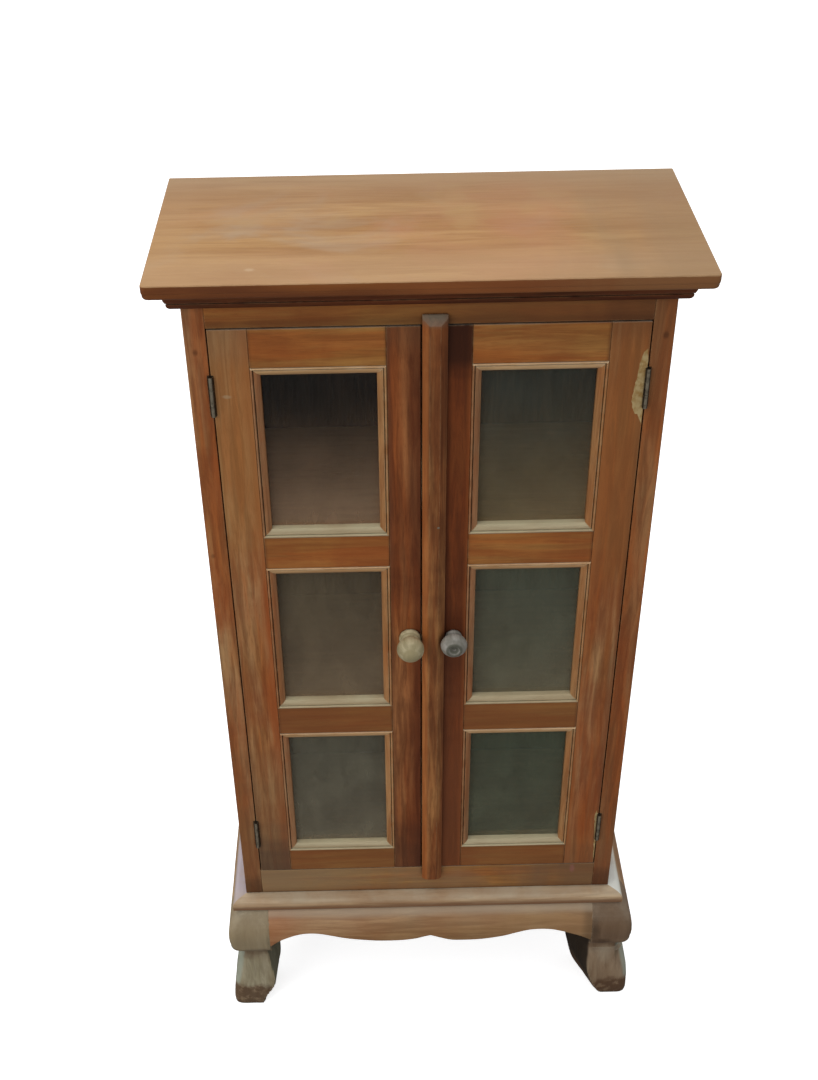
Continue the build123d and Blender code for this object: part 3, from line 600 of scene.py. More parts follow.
def top_finish():
    """The sun-faded top, with a paler front zone, grey patches and dark edges."""
    finish, tree, shader = new_finish("faded_top_wood")
    figure = use_group(tree, wood_figure, {"Scale": grain_scale("x", 34.0), "Offset": seed_offset(4.0)})
    colour = tint(tree, TOP_MIDDLE, figure["Broad"], 0.8, TOP_LIGHT)
    colour = tint(tree, colour, opposite(tree, figure["Bands"]), 0.28, TOP_DARK)
    colour = tint(tree, colour, figure["Pores"], 0.12, TOP_DARK)
    colour = tint(tree, colour, figure["Stain"], 0.3, tone(164, 108, 62))
    where = object_place(tree)
    grey = span(tree, cloud(tree, where, 8.0, 4.0, 0.6, 0.5), 0.48, 0.7)
    colour = tint(tree, colour, grey, 0.6, tone(166, 144, 120))
    elsewhere = vector_calc(tree, "ADD", where, (3.1, 7.7, 0.0))
    rosy = span(tree, cloud(tree, elsewhere, 6.0, 4.0, 0.6, 0.4), 0.5, 0.68)
    colour = tint(tree, colour, rosy, 0.5, tone(178, 118, 80))
    elsewhere = vector_calc(tree, "ADD", where, (9.4, 1.2, 0.0))
    olive = span(tree, cloud(tree, elsewhere, 11.0, 3.0, 0.6, 0.4), 0.52, 0.7)
    colour = tint(tree, colour, olive, 0.45, tone(176, 138, 84))
    away = node(tree, "ShaderNodeSeparateXYZ", {"Vector": where}).outputs
    faded = opposite(tree, span(tree, away["Y"], CASE_FRONT, CASE_FRONT + 0.05))
    colour = tint(tree, colour, faded, 0.5, tone(182, 144, 104))
    colour = add_fades(tree, colour, TOP_FADES)
    back_grey = span(tree, away["Y"], CASE_BACK - 0.05, CASE_BACK)
    colour = tint(tree, colour, back_grey, 0.4, tone(160, 136, 106))
    colour = add_marks(tree, colour, [TOP_SPOT])
    up = facing_along(tree, "Z")
    edge = opposite(tree, span(tree, up, 0.2, 0.8))
    edge_tone = blend(tree, figure["Broad"], tone(112, 58, 22), tone(150, 86, 34))
    edge_tone = add_fades(tree, edge_tone, TOP_EDGE_FADES)
    colour = blend(tree, edge, colour, edge_tone)
    colour = treat(tree, colour, edge_wear, {"Amount": 0.7, "Radius": 0.002}, RAW_WOOD)
    # dirt and painted shade in corners and joints
    colour = treat(tree, colour, joint_grime, {"Amount": 0.85}, GRIME_AND_SHADE_BROWN)
    feed(tree, shader.inputs["Base Color"], colour)
    gloss = calc(tree, "MULTIPLY_ADD", figure["Bands"], -0.1, 0.55)
    feed(tree, shader.inputs["Roughness"], calc(tree, "MULTIPLY_ADD", grey, 0.15, gloss, clamp=True))
    relief = calc(tree, "MULTIPLY_ADD", figure["Pores"], -0.6, figure["Bands"])
    emboss(tree, shader, relief, 0.2, 0.0006)
    feed(tree, shader.inputs["Specular IOR Level"], 0.35)
    return finish


LEG_FACE = CASE_FRONT - 0.018  # about where the front of a leg lies
LEG_TONES = {
    "left": (tone(198, 186, 156), tone(166, 152, 120), tone(104, 86, 64)),
    "right": (tone(180, 156, 128), tone(146, 122, 96), tone(84, 62, 46)),
}
# Painted shade on each leg's inner cheek, as (tone, strength).
CHEEK_SHADE_TONES = {"left": (tone(104, 106, 88), 0.7), "right": (tone(34, 26, 18), 0.9)}
# Tones over each knee, as (tone, strength); the right knee's darker tone is painted shade.
KNEE_TONES = {"left": (tone(168, 144, 110), 0.6), "right": (tone(120, 92, 68), 0.75)}
# Painted light on the outward faces of the shins.
OUTER_LIT_TONE = tone(176, 184, 166)
# Lighter and darker places on the knees, waists and toes, as rows for add_marks, among them painted shadows
# by the aprons' ends and under the knees and a painted highlight on the left shin.
LEG_MARKS_AND_SHADOWS = {
    "left": [
        # painted shadow beside the apron's end and under the knee
        (at(-176, 108, LEG_FACE), (0.006, 0.03, 0.022), tone(104, 100, 78), 0.5, 0.5, 0.9),
        (at(-180, 84, LEG_FACE), (0.016, 0.03, 0.009), tone(84, 76, 58), 0.6, 0.6, 0.9),
        # painted highlight along the shin's outer edge
        (at(-216, 74, LEG_FACE), (0.006, 0.03, 0.014), tone(190, 194, 170), 0.6, 0.5, 0.8),
        (at(-180, 24, LEG_FACE), (0.012, 0.03, 0.007), tone(84, 60, 42), 0.6, 0.8, 0.8),
    ],
    "right": [
        # painted shadow beside the apron's end and under the knee
        (at(186, 114, LEG_FACE), (0.008, 0.03, 0.026), tone(74, 58, 44), 0.6, 0.7, 0.9),
        (at(194, 94, LEG_FACE), (0.018, 0.03, 0.008), tone(66, 46, 34), 0.65, 0.6, 0.9),
        (at(214, 72, LEG_FACE), (0.004, 0.03, 0.02), tone(74, 62, 48), 0.5, 0.5, 0.9),
        (at(200, 66, LEG_FACE), (0.012, 0.03, 0.016), tone(184, 166, 140), 0.45, 0.5, 0.8),
    ],
}


def leg_finish(name, seed, hand):
    """Weathered leg: pale dusty shin with painted light on its outer faces, painted shade on the inner cheek
    and under the knee, and knocked toe below a ragged line.
    """
    finish, tree, shader = new_finish(name)
    light, middle, dark = LEG_TONES[hand]
    figure = use_group(tree, wood_figure, {"Scale": grain_scale("z", 60.0), "Offset": seed_offset(seed)})
    colour = tint(tree, middle, figure["Broad"], 0.8, light)
    colour = tint(tree, colour, opposite(tree, figure["Bands"]), 0.3, dark)
    colour = tint(tree, colour, figure["Stain"], 0.35, tone(150, 116, 84))
    where = object_place(tree)
    height = part_of(tree, where, "Z")
    uneven = calc(tree, "SUBTRACT", cloud(tree, where, 60.0, 3.0, 0.55), 0.5)
    ragged = calc(tree, "MULTIPLY_ADD", uneven, 0.02, height)
    knee_tone, knee_amount = KNEE_TONES[hand]
    knee = span(tree, ragged, 0.088, 0.1)
    colour = tint(tree, colour, knee, knee_amount, knee_tone)
    toe = opposite(tree, span(tree, ragged, 0.0235, 0.0325))
    chips = span(tree, cloud(tree, where, 120.0, 4.0, 0.65), 0.46, 0.66)
    toe_tone = blend(tree, chips, tone(98, 68, 46), tone(146, 118, 90))
    colour = tint(tree, colour, toe, 0.85, toe_tone)
    # painted shade on the waist, under the knee's lip
    waist = calc(tree, "MULTIPLY", span(tree, ragged, 0.066, 0.08), opposite(tree, knee))
    colour = tint(tree, colour, waist, 0.55, tone(112, 84, 62))
    # painted light on the shin's outward faces
    across = facing_along(tree, "X")
    outward_lit = span(tree, calc(tree, "MULTIPLY", across, SIDES[hand]), 0.35, 0.75)
    shin = calc(tree, "MULTIPLY", span(tree, ragged, 0.024, 0.034), opposite(tree, knee))
    colour = tint(tree, colour, calc(tree, "MULTIPLY", outward_lit, shin), 0.7, OUTER_LIT_TONE)
    # painted shade on the faces that turn inwards, under the case
    inward_shade = span(tree, calc(tree, "MULTIPLY", across, -SIDES[hand]), 0.5, 0.85)
    inward_shade = calc(tree, "MULTIPLY", inward_shade, span(tree, ragged, 0.012, 0.036))
    cheek_shade_tone, cheek_shade_amount = CHEEK_SHADE_TONES[hand]
    colour = tint(tree, colour, inward_shade, cheek_shade_amount, cheek_shade_tone)
    colour = add_marks(tree, colour, LEG_MARKS_AND_SHADOWS[hand])
    colour = treat(tree, colour, edge_wear, {"Amount": 0.6, "Radius": 0.0025}, tone(206, 184, 150))
    # dirt and painted shade in corners and joints
    colour = treat(tree, colour, joint_grime, {"Amount": 0.45, "Reach": 0.01}, GRIME_AND_SHADE_BROWN)
    dust = {"Amount": 0.45, "Offset": seed_offset(seed)}
    colour = treat(tree, colour, settled_dust, dust, tone(190, 184, 166))
    coat(tree, shader, {
        "Base Color": colour,
        "Roughness": calc(tree, "MULTIPLY_ADD", figure["Stain"], -0.12, 0.75),
    })
    relief = calc(tree, "MULTIPLY_ADD", chips, calc(tree, "MULTIPLY", toe, -1.2), figure["Bands"])
    emboss(tree, shader, relief, 0.3, 0.0008)
    feed(tree, shader.inputs["Specular IOR Level"], WOOD_SHEEN)
    return finish


def knob_finish(name, light, dark, seed, rim, end):
    """Bare turned wood, greyed by hands."""
    finish, tree, shader = new_finish(name)
    figure = use_group(tree, wood_figure, {"Scale": (150.0, 14.0, 120.0), "Offset": seed_offset(seed)})
    colour = blend(tree, figure["Broad"], dark, light)
    ahead = facing_along(tree, "Y")
    at_end = span(tree, calc(tree, "MULTIPLY", ahead, -1.0), 0.7, 0.92)
    colour = tint(tree, colour, at_end, 0.8, end)
    colour = tint(tree, colour, figure["Pores"], 0.25, tone(70, 58, 44))
    # dirt and painted shade where the knob meets the door
    colour = treat(tree, colour, joint_grime, {"Amount": 0.9, "Reach": 0.006}, tone(44, 32, 22))
    colour = treat(tree, colour, edge_wear, {"Amount": 0.5}, rim)
    coat(tree, shader, {
        "Base Color": colour,
        "Roughness": calc(tree, "MULTIPLY_ADD", figure["Bands"], -0.12, 0.62),
    })
    emboss(tree, shader, figure["Bands"], 0.2, 0.0004)
    return finish


def glass_finish():
    """Old window glass: clear, faintly wavy, with a slight green cast."""
    finish, tree, shader = new_finish("window_glass")
    where = object_place(tree)
    streaks = cloud(tree, where, 30.0, 3.0, 0.6, 0.5)
    shadow_ray = node(tree, "ShaderNodeLightPath").outputs["Is Shadow Ray"]
    coat(tree, shader, {
        "Base Color": tone(236, 242, 236),
        "Roughness": span(tree, streaks, 0.4, 0.7, 0.02, 0.09),
        "Alpha": calc(tree, "MULTIPLY_ADD", shadow_ray, -0.85, 1.0),
        "Transmission Weight": 1.0,
        "IOR": 1.3,
    })
    emboss(tree, shader, cloud(tree, where, 9.0, 1.0), 0.05, 0.001)
    return finish


def dust_film_finish(name, seed, low, high, film):
    """The film of dust on a pane: (cover above, cover below, tone above, tone below)."""
    finish, tree, shader = new_finish(name)
    cover_above, cover_below, tone_above, tone_below = film
    here = object_place(tree)
    height = part_of(tree, here, "Z")
    where = vector_calc(tree, "ADD", here, seed_offset(seed))
    clouds = span(tree, cloud(tree, where, 16.0, 4.0, 0.55, 0.4), 0.3, 0.7)
    down = calc(tree, "MULTIPLY_ADD", calc(tree, "SUBTRACT", clouds, 0.5), 0.03, height)
    down = opposite(tree, span(tree, down, low, high))
    cover = node(tree, "ShaderNodeMapRange", {"Value": down, "To Min": cover_above, "To Max": cover_below})
    wiped = vector_calc(tree, "MULTIPLY", where, (46.0, 46.0, 16.0))
    wiped = span(tree, cloud(tree, wiped, 1.0, 3.0, 0.55, 0.8), 0.3, 0.75, 0.85, 1.1)
    specks = span(tree, cloud(tree, where, 420.0, 2.0, 0.7), 0.66, 0.76, 0.0, 0.12)
    patchy = calc(tree, "MULTIPLY", span(tree, clouds, 0.0, 1.0, 0.85, 1.12), wiped)
    alpha = calc(tree, "MULTIPLY", cover.outputs["Result"], calc(tree, "ADD", patchy, specks), clamp=True)
    coat(tree, shader, {
        "Alpha": alpha,
        "Base Color": blend(tree, down, tone_above, tone_below),
        "Roughness": span(tree, clouds, 0.0, 1.0, 0.8, 0.95),
        "Specular IOR Level": 0.05,
    })
    return finish


def iron_finish():
    """Dark aged iron with brown rust in its low places and a painted highlight down the front of its
    knuckles.
    """
    finish, tree, shader = new_finish("aged_hinge_iron")
    where = object_place(tree)
    rust = span(tree, cloud(tree, where, 220.0, 4.0, 0.65), 0.45, 0.65)
    colour = blend(tree, rust, tone(74, 66, 52), tone(46, 32, 22))
    colour = treat(tree, colour, edge_wear, {"Amount": 0.8, "Radius": 0.0008}, tone(168, 160, 138))
    # a painted highlight on the faces that look forward
    ahead = facing_along(tree, "Y")
    front_highlight = span(tree, calc(tree, "MULTIPLY", ahead, -1.0), 0.72, 0.95)
    front_highlight = calc(tree, "MULTIPLY", front_highlight, calc(tree, "MULTIPLY_ADD", rust, -0.35, 0.9))
    colour = blend(tree, front_highlight, colour, tone(152, 140, 118))
    coat(tree, shader, {
        "Base Color": colour,
        "Metallic": calc(tree, "MULTIPLY_ADD", front_highlight, -0.35, 0.75),
        "Roughness": calc(tree, "MULTIPLY_ADD", rust, 0.35, 0.4),
    })
    emboss(tree, shader, rust, 0.3, 0.0003)
    return finish


def filler_finish():
    """Pale filler and bare chipped wood beside a hinge."""
    finish, tree, shader = new_finish("pale_filler")
    where = object_place(tree)
    patches = span(tree, cloud(tree, where, 160.0, 4.0, 0.65), 0.4, 0.66)
    colour = blend(tree, patches, tone(206, 178, 124), tone(178, 138, 78))
    # dirt and painted shade in the filler's hollows
    dirty_and_shaded = use_group(tree, joint_grime, {"Amount": 0.7})["Mask"]
    coat(tree, shader, {
        "Base Color": blend(tree, dirty_and_shaded, colour, GRIME_AND_SHADE_BROWN),
        "Roughness": calc(tree, "MULTIPLY_ADD", patches, 0.1, 0.8),
    })
    emboss(tree, shader, patches, 0.5, 0.0004)
    return finish


# ---- legs ----
WAIST_STEPS = 8


def waisted(curve):
    """Put the soft waist in place of the corner below the knee's lip."""
    low, high = WAIST[2][1], WAIST[0][1]
    above = [point for point in curve if point[1] > high]
    below = [point for point in curve if point[1] < low]
    soft = []
    for i in range(WAIST_STEPS + 1):
        t = i / WAIST_STEPS
        soft.append(tuple((1 - t) ** 2 * a + 2 * t * (1 - t) * b + t * t * c for a, b, c in zip(*WAIST)))
    return above + soft + below


OUTER = waisted(joined_arcs((KNEE, 9), (LIP, 7), (SHIN, 12), (TOE, 6)) + [SOLE])
INNER_ARC = [(LEG_INSET, STAND_TOP / MM)] + arc_points(*SHIN_INNER, 10) + [SOLE_INNER]
LEG_HEART = (-9.0, -9.0)  # a point inside every section, from the case's corner
REAR_LEG_HEART = (-3.0, REAR_LEG_INSET / 2)
CHEEK_FACE = 2.3  # how far the cheeks stay behind the case's faces, clear of the aprons
RING_POINTS = 96
CARVE_DEPTH = 0.25  # how unevenly the carver's tool cut
CARVE_SIZE = 9.0
# How crisp the corners between walls are: a higher power makes a sharper corner.
FRONT_CRISP = 26.0
REAR_CRISP = 34.0
OUTER_CRISP = 36.0
JOINT_CRISP = 60.0
CHEEK_CRISP = 40.0
WASTE_AT = 20.0  # where the waste beside a toe is measured, before and behind the corner


def rounded_reach(walls, heart, way, power):
    """How far a ray from the heart runs inside the walls, with their meeting corners rounded."""
    total = 0.0
    for nx, ny, offset in walls:
        toward = nx * way[0] + ny * way[1]
        if toward > 1e-6:
            total += (toward / (offset - nx * heart[0] - ny * heart[1])) ** power
    return total ** (-1 / power) if total > 0 else 1e6


def half_plane(first, second):
    """The wall through two points, facing to the left of the way from the second to the first."""
    dx, dy = first[0] - second[0], first[1] - second[1]
    length = hypot(dx, dy)
    nx, ny = -dy / length, dx / length
    return (nx, ny, nx * first[0] + ny * first[1])


def leg_heights():
    """Heights of a leg's sections, from the top down, closer together round the ankle."""
    heights = [z for _, z in OUTER]
    heights += [ANKLE + 1.2, ANKLE - 1.5, ANKLE - 4.0, 1.2, 8.0, 10.0, 12.0]
    heights += [STAND_TOP / MM - 5 * i for i in range(9)]
    return sorted(set(round(z, 1) for z in heights), reverse=True)


def leg_rings(walls_at, heart, softness, seed):
    """Rings of points round a leg; walls_at gives the walls of its section at a height."""
    rings = []
    for z in leg_heights():
        outer, jointed, cheek = walls_at(z)
        block = smooth_step(ANKLE, ANKLE + 3, z)
        ring = []
        for i in range(RING_POINTS):
            angle = tau * i / RING_POINTS + pi / 4
            way = (cos(angle), sin(angle))
            carved = rounded_reach(outer + jointed, heart, way, softness)
            squared = rounded_reach(outer, heart, way, OUTER_CRISP)
            squared = min(squared, rounded_reach(jointed, heart, way, JOINT_CRISP))
            if cheek:
                squared = max(squared, rounded_reach(cheek, heart, way, CHEEK_CRISP))
            reach = between(carved, squared, block)
            u, v = heart[0] + reach * way[0], heart[1] + reach * way[1]
            carve = CARVE_DEPTH * (waver((u, v, z), CARVE_SIZE, seed) - 1) * (1 - block)
            ring.append((u + carve * way[0], v + carve * way[1], z))
        rings.append(ring)
    return rings


def shin_at(hand, z):
    """A front shin's measures at one height: its two reaches, the waste's edges and its inner face."""
    rows = FRONT_SHINS[hand]
    return [smooth_value([(row[0], row[column]) for row in rows], z) for column in range(1, len(rows[0]))]


def front_walls(hand, z):
    """A front leg's section as (outer walls, inner walls, walls of the cheek behind the aprons)."""
    out, forward, edge, rear, inner = shin_at(hand, z)
    cheek = []
    if z >= WAIST[2][1]:
        out = forward = value_at(OUTER, 1, z)
    if z >= ANKLE:
        deep = between(inner, LEG_INSET, smooth_step(CHEEK_FULL, CHEEK_TOP[hand], z))
        jointed = [(-1, 0, LEG_INSET), (0, -1, LEG_INSET)]
        cheek = [(1, 0, -CHEEK_FACE), (0, 1, -CHEEK_FACE), (-1, 0, deep), (0, -1, deep)]
    else:
        nx, ny, offset = half_plane((edge, WASTE_AT), (rear, -WASTE_AT))
        jointed = [(-1, 0, inner), (0, -1, inner), (nx, ny, offset), (ny, nx, offset)]
    diagonal = (sqrt(0.5), sqrt(0.5), sqrt(0.5) * (out + forward) - smooth_value(CORNER_EASES, z))
    return [(1, 0, out), (0, 1, forward), diagonal], jointed, cheek


def rear_walls(z):
    """Sections of a rear leg; v runs towards the front from the case's back corner."""
    out = value_at(OUTER, 1, z)
    inner = value_at(INNER_ARC, 1, z)
    outer = [(1, 0, out)]
    jointed = [(-1, 0, inner), (0, 1, REAR_LEG_INSET), (0, -1, 0.0)]
    if z < ANKLE:
        slope = sqrt(0.5)
        jointed.append((slope, slope, slope * (TOE[1][0] + REAR_LEG_INSET - REAR_TOE_CUT)))
        jointed.append((-slope, slope, slope * (SHIN_INNER[1][0] + REAR_LEG_INSET - REAR_TOE_CUT)))
    return outer, jointed, []


def set_leg(rings, hand, corner_y):
    """Put rings drawn from a corner at the case's real corner, left or right."""
    side, shift = SIDES[hand], STAND_SHIFT * MM
    moved = []
    for ring in rings:
        moved.append([(side * (HALF + u * MM) + shift, corner_y - v * MM, z * MM) for u, v, z in ring])
    return moved


def carved_legs():
    seeds = {"front_left": 11.0, "front_right": 12.0, "rear_left": 13.0, "rear_right": 14.0}
    finishes = {}
    for leg, seed in seeds.items():
        end, hand = leg.split("_")
        finishes[leg] = leg_finish(f"{hand}_{end}_leg_wood", seed, hand)
    for hand, seed in (("left", 5.0), ("right", 9.0)):
        front = leg_rings(partial(front_walls, hand), LEG_HEART, FRONT_CRISP, seed)
        rear = leg_rings(rear_walls, REAR_LEG_HEART, REAR_CRISP, seed + 2)
        for end, rings, corner_y in (("front", front, CASE_FRONT), ("rear", rear, CASE_BACK)):
            piece = loft(f"carved_leg_{end}_{hand}", set_leg(rings, hand, corner_y))
            place(piece, "case", finishes[f"{end}_{hand}"], "stand_wood", f"leg_{end}_{hand}")


# ---- aprons ----
FACE_CURVE = joined_arcs((KNEE, 9), (LIP, 7))
APRON_ARRIS = 1.1  # worn lower edge, in millimetres
APRON_TENON = 1.2  # how far an apron's ends run into the legs
APRON_ROWS = 14
SCALLOP_STEPS = 44  # steps along each half of the front apron
HOLLOW_DEPTH = 0.2
HOLLOW_SIZE = 26.0


def scallop_edge(half_length):
    """A side apron's lower edge, as (along, height), from one end to the other."""
    points = [(share * half_length, z) for share, z in SCALLOP]
    right = joined_arcs((points[0:3], 10), (points[2:5], 12), (points[4:7], 16)) + [points[7]]
    return [(-x, z) for x, z in reversed(right[1:])] + right


def front_scallop_edge(half_length):
    """The front apron's lower edge; its two halves were sawn by eye and differ a little."""
    edge = []
    for i in range(-SCALLOP_STEPS, SCALLOP_STEPS + 1):
        half = FRONT_SCALLOP["left" if i < 0 else "right"]
        edge.append((half_length * i / SCALLOP_STEPS, smooth_value(half, abs(i) / SCALLOP_STEPS)))
    return edge


def apron_column(along, low, half_length, seed):
    """One slice through an apron, as (along, reach, height), from its top face round to its back."""
    jointed = smooth_step(half_length, half_length - 8, abs(along))
    column = []
    top = STAND_TOP / MM
    for i in range(APRON_ROWS + 1):
        z = between(top, low + APRON_ARRIS, i / APRON_ROWS)
        hollow = HOLLOW_DEPTH * (waver((along, z, 0), HOLLOW_SIZE, seed) - 1)
        hollow *= (1 - smooth_step(top - 6, top, z)) * jointed
        column.append((along, value_at(FACE_CURVE, 1, z) + hollow, z))
    reach = value_at(FACE_CURVE, 1, low) - 0.35
    column.append((along, reach, low + 0.4 * APRON_ARRIS))
    column.append((along, reach - 0.7 * APRON_ARRIS, low))
    column.append((along, APRON_INNER, low))
    column.append((along, APRON_INNER, top))
    return column


APRON_FADES = [
    ("x", -130, -172, tone(184, 108, 64), 0.5),
    ("x", -40, 120, tone(164, 128, 86), 0.4),
    ("x", 168, 180, tone(112, 86, 60), 0.6),
    # a painted highlight along the apron's top, just below the nosing
    ("z", 136, 144, tone(204, 184, 158), 0.5),
]


def shaped_aprons():
    half = HALF / MM - LEG_INSET + APRON_TENON
    rings = []
    for along, low in front_scallop_edge(half):
        column = apron_column(along, low, half, 21.0)
        rings.append([((x + STAND_SHIFT) * MM, CASE_FRONT - reach * MM, z * MM) for x, reach, z in column])
    finish = wood("front_apron_wood", 31.0, STAND_LIGHT, STAND_MIDDLE, STAND_DARK, along="x",
                  stain=tone(168, 108, 66), dust=0.35, wear=0.35, rough=0.6, contrast=0.8, grime=0.5,
                  fades=APRON_FADES)
    place(loft("shaped_apron_front", rings, 30), "case", finish, "stand_wood", "apron_front")
    length = (CASE_BACK - CASE_FRONT) / MM - LEG_INSET - REAR_LEG_INSET + 2 * APRON_TENON
    middle = CASE_FRONT + (LEG_INSET - APRON_TENON + length / 2) * MM
    finish = wood("side_apron_wood", 32.0, STAND_LIGHT, STAND_MIDDLE, STAND_DARK, along="y",
                  stain=tone(140, 92, 60), dust=0.35, wear=0.35, rough=0.6)
    for hand, side in SIDES.items():
        rings = []
        for along, low in scallop_edge(length / 2):
            column = apron_column(along, low, length / 2, 22.0 + side)
            rings.append([
                (side * (HALF + reach * MM) + STAND_SHIFT * MM, middle + y * MM, z * MM)
                for y, reach, z in column
            ])
        place(loft(f"shaped_apron_{hand}", rings, 30), "case", finish, "stand_wood", f"apron_{hand}")


# ---- mouldings ----
CORNICE_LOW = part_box("cornice_front")[0]
CORNICE_HEIGHT = (CASE_TOP - CORNICE_LOW.z) / MM
CORNICE_REACH = (CASE_FRONT - CORNICE_LOW.y) / MM
CORNICE_DROP = 2.8  # how far the moulding hangs below its solid
NOSING_LOW, NOSING_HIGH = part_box("base_nosing_front")
NOSING_HEIGHT = (NOSING_HIGH.z - STAND_TOP) / MM
NOSING_REACH = (CASE_FRONT - NOSING_LOW.y) / MM
NOSING_INSET = (NOSING_HIGH.y - CASE_FRONT) / MM
FRONT_STEPS = 64  # slices along a front moulding
SIDE_STEPS = 30
SIDE_RUN = 190  # length of a side moulding, in millimetres
WEAR_SIZE = 30.0  # length of the worn places along a moulding
CORNICE_WEAR = 0.3
NOSING_WEAR = 0.5
MOULDING_CREASE = 30  # degrees from which an edge stays sharp
LIP_DROP = 2.8  # how far the lip hangs below the top board
LIP_CORNER = 6.0


def cornice_section():
    """Two rounds with a quirk between them, below a square lip, as (reach, height above its foot)."""
    height = CORNICE_HEIGHT + CORNICE_DROP
    section = [(0, 0), (5.6, 0)]
    section += arc_points((6.2, 0.1), (8.8, 2.2), (10.0, 5.6), 9)
    section += [(9.2, 6.0), (9.2, 6.7)]
    section += arc_points((10.4, 6.9), (11.7, 10.2), (CORNICE_REACH - 0.3, 15.0), 9)
    section += [(CORNICE_REACH - 0.2, height - 2.2), (CORNICE_REACH, height - 1.7)]
    section += [(CORNICE_REACH, height), (0, height)]
    return section


def nosing_section():
    """The base frame's edge, with a worn upper arris and a small lower one, as (reach, height)."""
    far, top = NOSING_REACH, NOSING_HEIGHT
    section = [(-NOSING_INSET, 0), (0, 0)]
    section += arc_points((far - 3.0, 0), (far - 1.0, 0.8), (far - 0.3, 2.8), 6)
    section += arc_points((far - 0.2, 7.0), (far - 2.0, 12.0), (far - 6.5, top), 10)
    section += [(0, top), (-NOSING_INSET, top)]
    return section


def worn(section, place_along, seed, depth):
    """A section with a little rubbed off its outer faces at one place along a moulding."""
    rubbed = []
    for reach, height in section:
        loss = depth * (1 - waver((place_along, height, 0), WEAR_SIZE, seed)) / 2 if reach > 2 else 0
        rubbed.append((reach - loss, height))
    return rubbed


def front_moulding(name, section, foot, seed, depth):
    """A moulding along the front, mitred on the case's corners."""
    half = HALF / MM
    rings = []
    for i in range(FRONT_STEPS + 1):
        share = 2 * i / FRONT_STEPS - 1
        ring = []
        for reach, height in worn(section, share * half, seed, depth):
            ring.append((share * (half + reach) * MM, CASE_FRONT - reach * MM, foot + height * MM))
        rings.append(ring)
    return loft(name, rings, MOULDING_CREASE)


def side_moulding(name, section, foot, seed, depth, side):
    """The return of a moulding along one side, mitred at its front end."""
    rings = []
    for i in range(SIDE_STEPS + 1):
        share = i / SIDE_STEPS
        ring = []
        for reach, height in worn(section, share * SIDE_RUN, seed, depth):
            y = between(CASE_FRONT - reach * MM, CASE_BACK, share)
            ring.append((side * (HALF + reach * MM), y, foot + height * MM))
        rings.append(ring)
    return loft(name, rings, MOULDING_CREASE)


def edge_path(inset, radius, reach, front, back):
    """The way along a board's left, front and right edges, so far in from them, as (x, y)."""
    bend = max(radius - inset, 0.0)
    x, y = reach - max(radius, inset), front + max(radius, inset)
    corner = [(x + bend * cos(pi * i / 12), y - bend * sin(pi * i / 12)) for i in range(7)]
    start = corner[0]
    right = [(start[0], between(back, start[1], i / 12)) for i in range(12)] + corner
    end_x, end_y = right[-1]
    middle = [(between(end_x, -end_x, i / 20), end_y) for i in range(1, 20)]
    return right + middle + [(-x_at, y_at) for x_at, y_at in reversed(right)]


def top_lip(finish):
    """The worn lower lip that runs under the edge of the top board, clear of the cornice."""
    low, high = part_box("top_board")
    overhang = high.x - HALF
    inner = overhang / MM - CORNICE_REACH - 0.6
    section = [(inner, 0.6), (inner, -LIP_DROP)]
    section += arc_points((3.4, -LIP_DROP), (1.2, 0.7 - LIP_DROP), (0.3, 2.6 - LIP_DROP), 6)
    section += [(0.3, 3.4), (2.4, 3.4), (4.0, 0.6)]
    ways = [edge_path(inset, LIP_CORNER, high.x / MM, low.y / MM, high.y / MM) for inset, _ in section]
    rings = []
    for i in range(len(ways[0])):
        rings.append([(way[i][0] * MM, way[i][1] * MM, low.z + z * MM) for way, (_, z) in zip(ways, section)])
    place(loft("top_edge_lip", rings, MOULDING_CREASE), "case", finish, "moulding_wood")


def run_mouldings():
    tones = tone(124, 68, 30), tone(90, 44, 17), tone(44, 20, 8)
    cornice = wood("cornice_wood", 41.0, *tones, along="x", stain=tone(120, 56, 26), dust=0.1, wear=0.6,
                   grime=0.9, rough=0.45, raw=tone(176, 128, 84))
    cornice_side = wood("cornice_side_wood", 42.0, *tones, along="y", stain=tone(110, 48, 22), dust=0.1,
                        wear=0.3, grime=0.95, rough=0.45)
    foot = CASE_TOP - (CORNICE_HEIGHT + CORNICE_DROP) * MM
    run = front_moulding("cornice_run_front", cornice_section(), foot, 41.0, CORNICE_WEAR)
    place(run, "case", cornice, "moulding_wood", "cornice_front")
    nosing = wood("base_frame_wood", 43.0, tone(224, 194, 154), tone(198, 160, 118), tone(140, 98, 66),
                  along="x", stain=tone(176, 132, 94), dust=0.75, wear=0.5, rough=0.66,
                  dust_tone=tone(204, 190, 164), fades=[("z", 158, 152, tone(134, 92, 64), 0.75)])
    side_tones = {"left": tone(202, 190, 196), "right": tone(232, 232, 222)}
    run = front_moulding("base_frame_front", nosing_section(), STAND_TOP, 43.0, NOSING_WEAR)
    place(run, "case", nosing, "stand_wood", "base_nosing_front")
    for hand, side in SIDES.items():
        run = side_moulding(f"cornice_run_{hand}", cornice_section(), foot, 45.0 + side, CORNICE_WEAR, side)
        place(run, "case", cornice_side, "moulding_wood", f"cornice_{hand}")
        nosing_side = wood(f"{hand}_base_frame_wood", 44.0, tone(214, 194, 166), tone(184, 158, 128),
                           tone(136, 108, 82), along="y", dust=1.0, wear=0.5, rough=0.7,
                           dust_tone=side_tones[hand])
        run = side_moulding(f"base_frame_{hand}", nosing_section(), STAND_TOP, 47.0 + side, NOSING_WEAR, side)
        place(run, "case", nosing_side, "stand_wood", f"base_nosing_{hand}")


